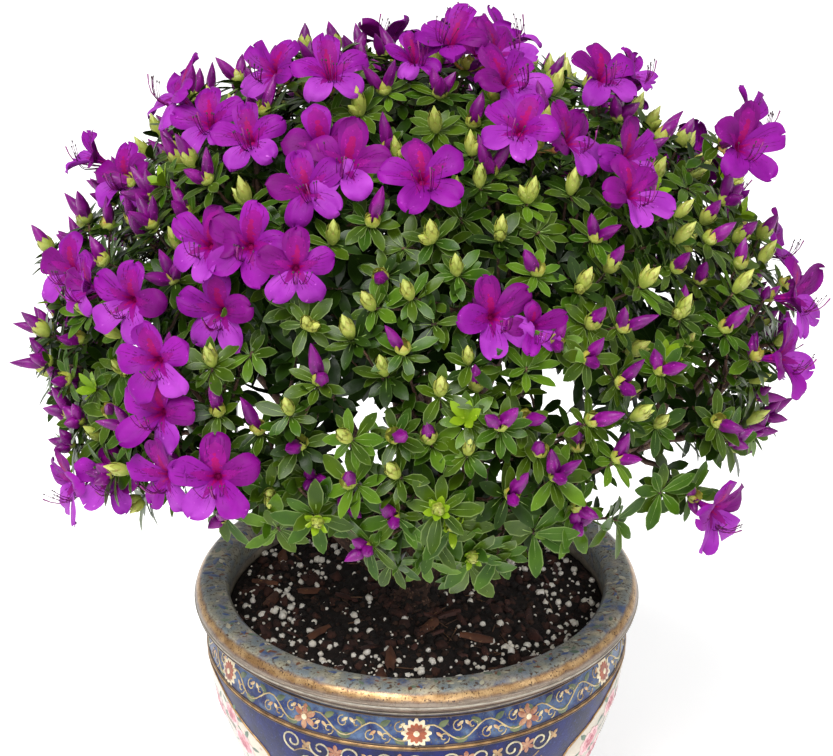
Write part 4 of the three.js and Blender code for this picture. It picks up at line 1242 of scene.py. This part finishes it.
for shoot in shoots:
    face, tip = shoot["face"], shoot["end"]
    if shoot["level"] in ("inner", "deep"):
        continue
    throw = {"purple": 0.1, "green": 0.8}.get(shoot["kind"], rng.uniform())
    low_bud = shoot["kind"] == "bud" and shoot["elevation"] < -2 and shoot["front"] > 0.35
    upright = unit(face + 0.4 * UP)
    if shoot["kind"] == "open":
        for k in range(2):
            way = leaning(upright, face, 1.0, rng.uniform(0, ANY_TURN))
            grow_bud(tip, way, rng.uniform(14, 19), 3.2)
        grow_scales("amber", tip, upright, 10, 4.0, 2, flare=2.4)
        continue
    if shoot["kind"] == "lime" or low_bud and throw < LIME_BELOW:
        length = rng.uniform(10, 14)
        grow_core(tip, upright, length, 4.0)
        grow_scales("green", tip, upright, length, 4.0, 2)
        for k in range(6):
            along = leaning(upright, face, 0.6 + 0.4 * (k % 2), 1.1 * k + throw * 6)
            grow_small_leaf(tip, along, face, rng.uniform(11, 18), 5.6)
        continue
    if shoot["kind"] == "small" or low_bud and throw < SMALL_BELOW:
        count = 2 + int(3 * rng.uniform())
        first = rng.uniform(0, ANY_TURN)
        for k in range(count):
            way = leaning(upright, face, 0.62, first + 2 * math.pi * k / count)
            grow_bud(tip + 2 * way, way, rng.uniform(12, 17), rng.uniform(3.6, 4.6))
        grow_scales("amber", tip - face, upright, 8, 3.6, 1, flare=1.6)
        continue
    if shoot["kind"] in ("leafy", "fresh"):
        continue
    centre = shoot["front"] > 0.7 and 18 < shoot["elevation"] < 66
    upper_right = shoot["elevation"] > 36 and tip[0] > 70
    furled_below = FEW_FURLED_BELOW if centre or upper_right else FURLED_BELOW
    if centre and shoot["kind"] == "bud" and rng.uniform() < BARE_SHARE:
        continue
    if throw < furled_below:
        count = 1 + int(rng.integers(0, 4) * 0.8)
        first = rng.uniform(0, ANY_TURN)
        for k in range(count):
            lean = 0.12 + 0.44 * rng.uniform(0.7, 1.2)
            way = leaning(upright, face, lean, first + 2 * math.pi * k / count)
            grow_bud(tip + 2 * way, way, rng.uniform(18, 27), rng.uniform(3.6, 4.6))
        grow_scales("amber", tip - face, upright, 11, 4.0, 1, flare=2.2)
        grow_scales("green", tip - face, upright, 9, 4.6, 1, flare=1.2)
    elif throw < furled_below + HALF_OPEN_SHARE:
        grow_bud(tip + 4 * upright, upright, rng.uniform(18, 24), 4.2)
        grow_scales("green", tip, upright, 18, 4.9, 2, reach=0.86, flare=0.8)
    elif throw < GREEN_BELOW:
        size = rng.uniform(0.78, 1.04)
        grow_core(tip, upright, 23 * size, 4.0 * size)
        grow_scales("green", tip, upright, 22 * size, 4.1 * size, 2, reach=0.82, flare=0.5)
        if rng.uniform() < 0.4:
            way = leaning(upright, face, 0.7, rng.uniform(0, ANY_TURN))
            grow_core(tip, way, 16, 3.2)
            grow_scales("green", tip, way, 15.5, 3.3, 2, reach=0.82, flare=0.4)
    else:
        for k in range(6):
            along = leaning(upright, face, 0.75, 1.3 * k)
            grow_small_leaf(tip, along, face, rng.uniform(14, 20), 6.4)


bud_ridges = np.cos(5 * 2 * np.pi * np.arange(BUD_SIDES) / BUD_SIDES - 2.6 * BUD_RINGS[:, None])


def bud_shapes(grown):
    """Furled buds: a spindle with five furrows that twist round it."""
    grown = np.array(grown)
    root, way = grown[:, None, 0:3], grown[:, None, 3:6]
    length, radius = grown[:, 6, None, None], grown[:, 7, None, None]
    routes = root + way * length * BUD_RINGS[:, None]
    radii = radius * BUD_SWELL[:, None] * (1 + 0.2 * bud_ridges)
    return tubes(routes * MM, radii * MM, BUD_SIDES, spin=grown[:, :1, None] % ANY_TURN)


bud_finish = finish("bud_purple", (126, 10, 122), (94, 5, 94), (172, 52, 164), 90, 0.4, bump=0.3,
                    fleck_share=0.1, shine={"Specular IOR Level": 0.3})
# The twisting ridges of the furled buds are painted lighter and the furrows between them darker: a painted
# highlight on each ridge and painted shade in each furrow.
ridge_field = np.concatenate([(0.5 + 0.5 * bud_ridges).ravel(), [0.5, 0.5]])
ridge_light_and_furrow_shade = [(0.0, (0.62, 0.5, 0.62, 1)), (0.5, (0.95, 0.95, 0.95, 1)), (1.0, (1.25, 1.5, 1.25, 1))]
blended(bud_finish, "ridge", ridge_light_and_furrow_shade)
points, faces = bud_shapes(furled)
piece("furled_buds", points, faces, bud_finish, "foliage", sharp=60,
      fields={"ridge": np.tile(ridge_field, len(furled))})
points, faces = bud_shapes(cores)
core_finish = finish("bud_core", (188, 192, 98), (166, 178, 80), (192, 160, 108), 80, 0.45)
piece("green_buds", points, faces, core_finish, "foliage", sharp=60)


def scale_shapes(grown):
    """Bud scales: each a pointed patch of a spindle, from the bud's foot to its own tip, bent
    round the bud's axis and standing off it a little more the lower its ring is."""
    grown = np.array(grown)[:, None, None]
    root, way = grown[..., 0:3], grown[..., 3:6]
    length, radius, turn, high, flare, ring = np.moveaxis(grown[..., 6:], -1, 0)
    steep = np.abs(way[..., 2:]) > 0.9
    side = unit(np.cross(np.where(steep, np.array([1.0, 0, 0]), UP), way))
    other = np.cross(way, side)
    share = np.linspace(0.0, 1.0, 5)[:, None]
    cross = np.linspace(-1, 1, 3)
    height = length * high * share
    swell = radius * np.sin(np.pi * np.clip(0.13 + 0.87 * share * high, 0, 1)) ** 0.8
    stand = swell * (1.04 - 0.08 * ring) + 0.3 + flare * share**2
    angle = turn + 0.74 * cross * np.array([0.75, 1, 0.98, 0.66, 0.06])[:, None]
    around = side * np.cos(angle)[..., None] + other * np.sin(angle)[..., None]
    return root + way * height[..., None] + around * stand[..., None]


scale_tints = {"green": ((166, 174, 80), (138, 154, 60), (190, 176, 112)),
               "amber": ((172, 164, 70), (146, 158, 62), (184, 118, 70))}
tip_tone = [(0.0, (0.86, 0.9, 0.8, 1)), (0.45, (1, 1, 1, 1)), (0.75, (1, 0.96, 0.86, 1)),
            (1.0, (0.74, 0.46, 0.4, 1))]
scale_edge = 0.85 + 0.15 * np.abs(np.linspace(-1, 1, 3))
to_tip = lens_field(np.linspace(0, 1, 5)[:, None] * np.ones(3) * scale_edge)
for kind, tints in scale_tints.items():
    outward_grids = scale_shapes(scales[kind])[:, :, ::-1]
    points, faces = lenses(outward_grids * MM, 0.7 * MM)
    made = blended(finish(kind + "_scale", *tints, 80, 0.45), "to_tip", tip_tone)
    piece(f"{kind}_scales", points, faces, made, "foliage", sharp=60,
          fields={"to_tip": np.tile(to_tip, len(scales[kind]))})

young_middles = leaf_middles(small_leaves, LEAF_ROWS, LEAF_WIDTHS, LEAF_COLS)
points, faces = lenses(young_middles * MM, LEAF_THICK * MM)
young_finish = finish("young_leaf", *green["new"], 40, 0.3, shine=LEAF_SHINE)
piece("young_leaves", points, faces, young_finish, "foliage", sharp=60)


# ---- Blossoms ----
# Open funnels of five wavy petals, 50 to 60 mm across, purple with a magenta flare on each petal,
# largest and spotted on the upper one, and long dark stamens that curve up at their ends. Each
# stands on a green stalk at a shoot's end.
# The line of the funnel from its foot to a petal's tip, as radius and height, and the petal's
# half width at each point of it.
FUNNEL = np.array([(1.5, 0), (1.9, 7), (2.7, 13), (4.6, 18), (9.0, 22.4), (15, 25.4), (21.5, 27), (27, 27),
                   (30.5, 25.6)])
PETAL_HALF_WIDTHS = np.array([1.25, 1.6, 2.3, 4.0, 7.0, 10.0, 11.4, 11.2, 10.4])
PETAL_ROWS, PETAL_COLS = 13, 9
blossoms = []


def grow_blossom(root, axis, size):
    """Notes a blossom: its foot, the way it opens and its size. Its upper petal points up."""
    upper = unit(UP - (UP @ axis) * axis + 0.25 * square_to(axis, rng.uniform(0, ANY_TURN)))
    upper = unit(upper - (upper @ axis) * axis)
    blossoms.append(np.concatenate([root, axis, upper, [size]]))


FRONT_HALF_Y = 60  # mm, behind which blossoms don't turn to the front
pedicel_routes = []
for shoot in shoots:
    if shoot["kind"] != "open":
        continue
    outward = unit(shoot["end"] - CROWN_CENTRE)
    level = unit(outward * (1, 1, 0.55) + 0.0001 * UP)
    toward = np.array([0, -0.5, 0.1]) if shoot["end"][1] < FRONT_HALF_Y else 0
    facing = unit(0.5 * shoot["face"] + 0.7 * level + toward)
    first = rng.normal(0, 0.35)
    spread, lean = (12, 0.34) if shoot["blossoms"] > 1 else (2, 0.16)
    for k in range(shoot["blossoms"]):
        aside = square_to(facing, first + 2 * math.pi * k / shoot["blossoms"])
        axis = unit(facing + lean * aside + rng.normal(0, 0.08, 3))
        foot = shoot["end"] + spread * aside + (2 + 5 * (k % 2)) * facing
        grow_blossom(foot, axis, rng.uniform(0.84, 0.98))
        start = shoot["end"] - 2 * shoot["face"]
        pedicel_routes.append(bend(start, shoot["end"] + 0.5 * spread * aside, foot + axis))

blossoms = np.array(blossoms)
root, axis, upper, size = blossoms[:, 0:3], blossoms[:, 3:6], blossoms[:, 6:9], blossoms[:, 9]
beside = np.cross(axis, upper)
petal_lean = rng.normal(0.02, 0.16, (len(blossoms), 5))
petal_cup = rng.uniform(-0.42, 0.2, (len(blossoms), 5))
HALF_OPEN_BLOSSOMS = 0.14
half_open = rng.uniform(0, 1, len(blossoms)) < HALF_OPEN_BLOSSOMS
petal_open = np.where(half_open, rng.uniform(0.5, 0.8, len(blossoms)), 1.0)
petal_phase = rng.uniform(0, ANY_TURN, (len(blossoms), 5))


def petal_surface(numbers, share, cross):
    """Points on the petals with these numbers, of every blossom, for grids of the share of the
    way to the tip and of the way across. The funnel's line gives the distance from the axis and
    the height along it. The way across is an angle round the axis, and the outer half is ruffled,
    cupped or curled back, and creased along its rib."""
    line = through(np.column_stack([FUNNEL, PETAL_HALF_WIDTHS]), 8)
    span = np.linspace(0, 1, len(line))
    away, rise, half = (np.interp(share, span, line[:, column]) for column in range(3))
    half = half * np.sqrt(1.01 - (np.clip(share - 0.76, 0, 1) / 0.24) ** 2)
    outer = np.clip((share - 0.35) / 0.65, 0, 1)
    lean = petal_lean[:, numbers][..., None, None]
    cup = petal_cup[:, numbers][..., None, None]
    phase = petal_phase[:, numbers][..., None, None]
    opening = petal_open[:, None, None, None]
    half = half * (0.96 + 0.08 * outer * np.sin(12 * share + 2 * phase + 2.2 * np.sign(cross)))
    ruffle = 3.5 * outer * cross * np.abs(cross) * np.sin(9 * share + phase + 1.4 * np.sign(cross))
    ruffle = ruffle + 1.0 * outer * np.sin(5.5 * cross + 2 * phase)
    crease = -1.2 * outer * np.exp(-((cross / 0.25) ** 2))
    overlap = 0.8 * outer * cross
    curl = -2.6 * np.clip((share - 0.8) / 0.2, 0, 1) ** 2 * np.sin(phase)
    height = rise + ruffle + crease + overlap + curl + cup * half * cross**2 * outer
    height = height + lean * np.clip(away - 5, 0, None) + 11 * (1 - opening) * outer
    notch = 1 - 0.035 * np.clip(share - 0.85, 0, 1) / 0.15 * np.exp(-((cross / 0.4) ** 2))
    notch = notch + 0.03 * outer * np.sin(2.4 * cross + 2 * phase)
    angle = 2 * np.pi * np.asarray(numbers)[:, None, None] / 5 + cross * half / away
    spread = away * notch * (opening + (1 - opening) * 0.35)
    scale = size[:, None, None, None]
    x = (scale * spread * np.cos(angle))[..., None]
    y = (scale * spread * np.sin(angle))[..., None]
    z = (scale * height)[..., None]
    grid = root[:, None, None, None] + upper[:, None, None, None] * x + beside[:, None, None, None] * y
    grid = grid + axis[:, None, None, None] * z
    return grid.reshape(-1, *grid.shape[2:])


petal_share = (1 - (1 - np.linspace(0, 1, PETAL_ROWS)) ** 1.6)[:, None] * np.ones(PETAL_COLS)
petal_cross = np.ones(PETAL_ROWS)[:, None] * np.linspace(-1, 1, PETAL_COLS)
all_petals = petal_surface(list(range(5)), petal_share, petal_cross)
PETAL_SHINE = {"Specular IOR Level": 0.13}
petal_tints = {"pale": ((154, 56, 168), (132, 32, 146), (182, 92, 192)),
               "mid": ((132, 18, 140), (112, 8, 120), (160, 54, 166)),
               "deep": ((114, 4, 114), (98, 2, 96), (138, 26, 136))}
petal_number = np.tile(np.arange(5), len(blossoms))
# The two lower petals, which face up into the light, are painted paler than the others: painted light. The
# rest of the spread in tint is random, by petal and by blossom.
lit_and_random_paleness = np.isin(petal_number, (2, 3)) * 0.55 + rng.uniform(0, 0.6, len(all_petals))
lit_and_random_paleness = lit_and_random_paleness + 0.3 * np.repeat(rng.uniform(0, 1, len(blossoms)), 5)
tint_of_petal = 2 - np.digitize(lit_and_random_paleness, (0.42, 0.86))
for number, (tint, tints) in enumerate(petal_tints.items()):
    points, faces = lenses(all_petals[tint_of_petal == number] * MM, 0.45 * MM)
    made = finish("petal_" + tint, *tints, 45, 0.55, bump=0.5, fleck_share=0.06, shine=PETAL_SHINE)
    piece("petals_" + tint, points, faces, made, "foliage", sharp=70)


def on_petals(numbers, start, end, widths):
    """Patches that lie on petals between two shares of their length, lifted a little towards the
    front. Widths are the shares of the petal's half width that the patch takes, row by row."""
    cols = np.linspace(-1, 1, 5)
    rows = np.linspace(start, end, len(widths))[:, None] * np.ones_like(cols)
    patch = petal_surface(numbers, rows, np.array(widths)[:, None] * cols)
    return patch + 0.25 * axis.repeat(len(numbers), axis=0)[:, None, None]


# Each petal's flare: a broad soft patch, a narrower deep one on it, and fine rays past both.
flare_parts = [
    ("soft_flares", 0.5, ((128, 4, 117), (114, 2, 104), (148, 16, 132)),
     [([0], 0.24, 0.86, [1.0, 0.98, 0.96, 0.93, 0.88, 0.8, 0.68, 0.5, 0.08]),
      ([1, 4], 0.24, 0.66, [1.0, 0.95, 0.86, 0.74, 0.58, 0.4, 0.2, 0.04]),
      ([2, 3], 0.24, 0.62, [1.0, 0.94, 0.8, 0.6, 0.36, 0.16, 0.04])]),
    ("deep_flares", 0.8, ((146, 0, 92), (130, 0, 82), (162, 5, 106)),
     [([0], 0.14, 0.74, [0.98, 0.94, 0.86, 0.77, 0.68, 0.6, 0.46, 0.28, 0.05]),
      ([1, 4], 0.14, 0.5, [0.98, 0.9, 0.76, 0.58, 0.38, 0.2, 0.04]),
      ([2, 3], 0.14, 0.48, [0.98, 0.9, 0.72, 0.46, 0.22, 0.04])]),
]
for label, thick, tints, patches in flare_parts:
    points, faces = merged([lenses(on_petals(*values) * MM, thick * MM) for values in patches])
    piece(label, points, faces, finish(label, *tints, 90, 0.6, shine=PETAL_SHINE), "foliage", sharp=70)
SIX_RAYS, FOUR_RAYS = (-0.5, -0.3, -0.12, 0.12, 0.3, 0.5), (-0.45, -0.2, 0.2, 0.45)
ray_parts = [([0], 0.5, 0.9, SIX_RAYS), ([1, 4], 0.42, 0.84, SIX_RAYS), ([2, 3], 0.34, 0.76, FOUR_RAYS)]
ray_fan = np.linspace(0.8, 1.3, 5)[:, None]
rays = []
for numbers, start, end, crossings in ray_parts:
    ray_share = np.linspace(start, end, 5)[:, None]
    for crossing in crossings:
        rays.append(petal_surface(numbers, ray_share, crossing * ray_fan)[:, :, 0])
ray_finish = finish("petal_ray", (100, 2, 96), (88, 2, 86), (112, 6, 106), 60, 0.6, shine=PETAL_SHINE)
limbs("petal_rays", np.concatenate(rays), [0.5, 0.46, 0.4, 0.34, 0.2], 3, ray_finish)

# The rib of each petal shows on both sides of it.
rib_share = np.linspace(0.12, 0.86, 8)[:, None]
rib_routes = petal_surface(list(range(5)), rib_share, np.zeros((8, 1)))[:, :, 0]
pink = finish("petal_rib", (150, 18, 136), (136, 12, 126), (172, 40, 150), 60, 0.6, shine=PETAL_SHINE)
limbs("petal_ribs", rib_routes, np.linspace(0.62, 0.2, 8), 4, pink)

# Rows of dark spots on the upper petal and the near halves of its neighbours.
spot_at = rng.uniform(0, 1, (13, 2)) * (0.36, 1.1) + (0.34, -0.55)
spots = [petal_surface([number], spot_at[:, :1], spot_at[:, 1:] * reach)[:, :, 0]
         for number, reach in ((0, 1), (1, 0.6), (4, 0.6))]
spots = np.concatenate(spots, axis=1)
spot_axis = axis[:, None].repeat(spots.shape[1], 1).reshape(-1, 1, 3)
spot_routes = spots.reshape(-1, 1, 3) + spot_axis * np.array([-0.3, 0.15, 0.55])[:, None]
dark_spot = finish("spot", (96, 0, 72), (82, 0, 62), (112, 4, 84), 90, 0.6, shine=PETAL_SHINE)
limbs("spots", spot_routes, [0.2, 0.5, 0.2], 3, dark_spot)

# Stamens and the longer pistil leave the throat together and curve up at their ends.
STAMENS, STAMEN_STEPS = 6, 9
stamen_turn = rng.uniform(-0.5, 0.5, (len(blossoms), STAMENS)) + np.linspace(-1, 1, STAMENS)
stamen_reach = rng.uniform(0.82, 1.08, (len(blossoms), STAMENS))


def stamen_routes(turn, reach):
    """Routes from the funnel's foot out of the throat, sinking below the axis and curving up
    again, fanned out sideways by their turn."""
    t = np.linspace(0, 1, STAMEN_STEPS)
    out = 4 + 36 * t * reach[..., None]
    sink = -1 - 11 * np.sin(np.pi * 0.7 * t) ** 1.5 + 6 * np.clip(t - 0.66, 0, 1) / 0.34 * t
    fan = 8.5 * turn[..., None] * t**1.4
    way = axis[:, None, None] * out[..., None] + upper[:, None, None] * sink[..., None]
    way = way + beside[:, None, None] * fan[..., None]
    return (root[:, None, None] + way * size[:, None, None, None]).reshape(-1, STAMEN_STEPS, 3)


routes = stamen_routes(stamen_turn, stamen_reach)
filament = finish("filament", (96, 6, 82), (74, 4, 66), (124, 20, 100), 60, 0.6, shine=PETAL_SHINE)
limbs("filaments", routes, np.linspace(0.4, 0.26, STAMEN_STEPS), 3, filament)
tip_way = unit(routes[:, -1:] - routes[:, -2:-1])
anther_routes = routes[:, -1:] + tip_way * np.array([-0.3, 0.5, 1.3])[:, None]
anther = finish("anther", (66, 40, 52), (50, 30, 44), (120, 96, 80), 200, 0.6)
limbs("anthers", anther_routes, [0.3, 0.62, 0.3], 4, anther)
routes = stamen_routes(np.zeros((len(blossoms), 1)), np.full((len(blossoms), 1), 1.16))
pistil = finish("pistil", (130, 16, 110), (110, 10, 96), (160, 50, 120), 60, 0.5)
limbs("pistils", routes, [0.42] * (STAMEN_STEPS - 1) + [0.6], 4, pistil)

# The throat closes round the stamens, magenta all through.
throat_reach = np.array([5.0, 8.0, 11.0, 12.0])[:, None] * size[:, None, None]
throat_radii = np.array([1.0, 2.0, 2.6, 2.9]) * size[:, None]
throat = finish("throat", (152, 0, 94), (134, 0, 84), (168, 8, 110), 90, 0.7, shine=PETAL_SHINE)
limbs("throats", root[:, None] + axis[:, None] * throat_reach, throat_radii, 8, throat)

# Green flower stalks, each with a small cup that holds the funnel's foot.
pedicel_routes = np.array([evenly(route, 6) for route in pedicel_routes])
stalk = finish("stalk", (150, 134, 62), (172, 112, 56), (180, 160, 90), 60, 0.6)
limbs("flower_stalks", pedicel_routes, 1.1, 6, stalk)
cup_routes = root[:, None] + axis[:, None] * np.array([-1.0, 0.4, 1.6, 3.0])[:, None]
limbs("flower_cups", cup_routes, [1.0, 2.2, 2.6, 2.1], 8, stalk)


# ---- Floor, light and camera ----
# A pale floor under soft studio light: a white surround, a large soft box high in front on the
# left, a weak one on the right, and a low one straight in front.
def staged_floor():
    """A flat square floor, far larger than the view."""
    reach = 40.0
    mesh = bpy.data.meshes.new("floor")
    corners = [(-reach, -reach, 0), (reach, -reach, 0), (reach, reach, 0), (-reach, reach, 0)]
    mesh.from_pydata(corners, [], [(0, 1, 2, 3)])
    pale = (252, 252, 252)
    glow = {"Emission Color": (1, 1, 1, 1), "Emission Strength": 0.38}
    mesh.materials.append(finish("floor", pale, pale, pale, 2, 0.9, bump=0.0, shine=glow))
    floor = bpy.data.objects.new("floor", mesh)
    bpy.context.collection.objects.link(floor)


def soft_box(name, place, target, width, watts):
    """A square area light that looks at a point."""
    light = bpy.data.lights.new(name, "AREA")
    light.size = width
    light.energy = watts
    lamp = bpy.data.objects.new(name, light)
    lamp.location = place
    away = np.array(place) - np.array(target)
    lamp.rotation_euler = (math.atan2(math.hypot(away[0], away[1]), away[2]), 0,
                           math.atan2(away[1], away[0]) + math.pi / 2)
    bpy.context.collection.objects.link(lamp)


staged_floor()
soft_box("key_light", (-1.6, -3.0, 5.8), (0, 0, 0.2), 3.4, 460)
soft_box("fill_light", (4.2, -2.0, 3.4), (0, 0, 0.3), 3.0, 40)
soft_box("front_light", (0.4, -4.4, 2.5), (0, 0, 0.25), 2.4, 62)
world = bpy.data.worlds.new("surround")
world.use_nodes = True
world.node_tree.nodes["Background"].inputs["Color"].default_value = (1, 1, 1, 1)
world.node_tree.nodes["Background"].inputs["Strength"].default_value = 0.5
bpy.context.scene.world = world
bpy.context.scene.view_settings.view_transform = "Standard"

CAMERA_TILT = 25.21  # degrees below level
CAMERA_DISTANCE, CAMERA_HEIGHT = 1.396, 1.077
camera_data = bpy.data.cameras.new("camera")
camera_data.lens = 90
camera_data.sensor_width = 36
camera = bpy.data.objects.new("camera", camera_data)
camera.location = (0, -CAMERA_DISTANCE, CAMERA_HEIGHT)
camera.rotation_euler = (math.radians(90 - CAMERA_TILT), 0, 0)
bpy.context.collection.objects.link(camera)
bpy.context.scene.camera = camera
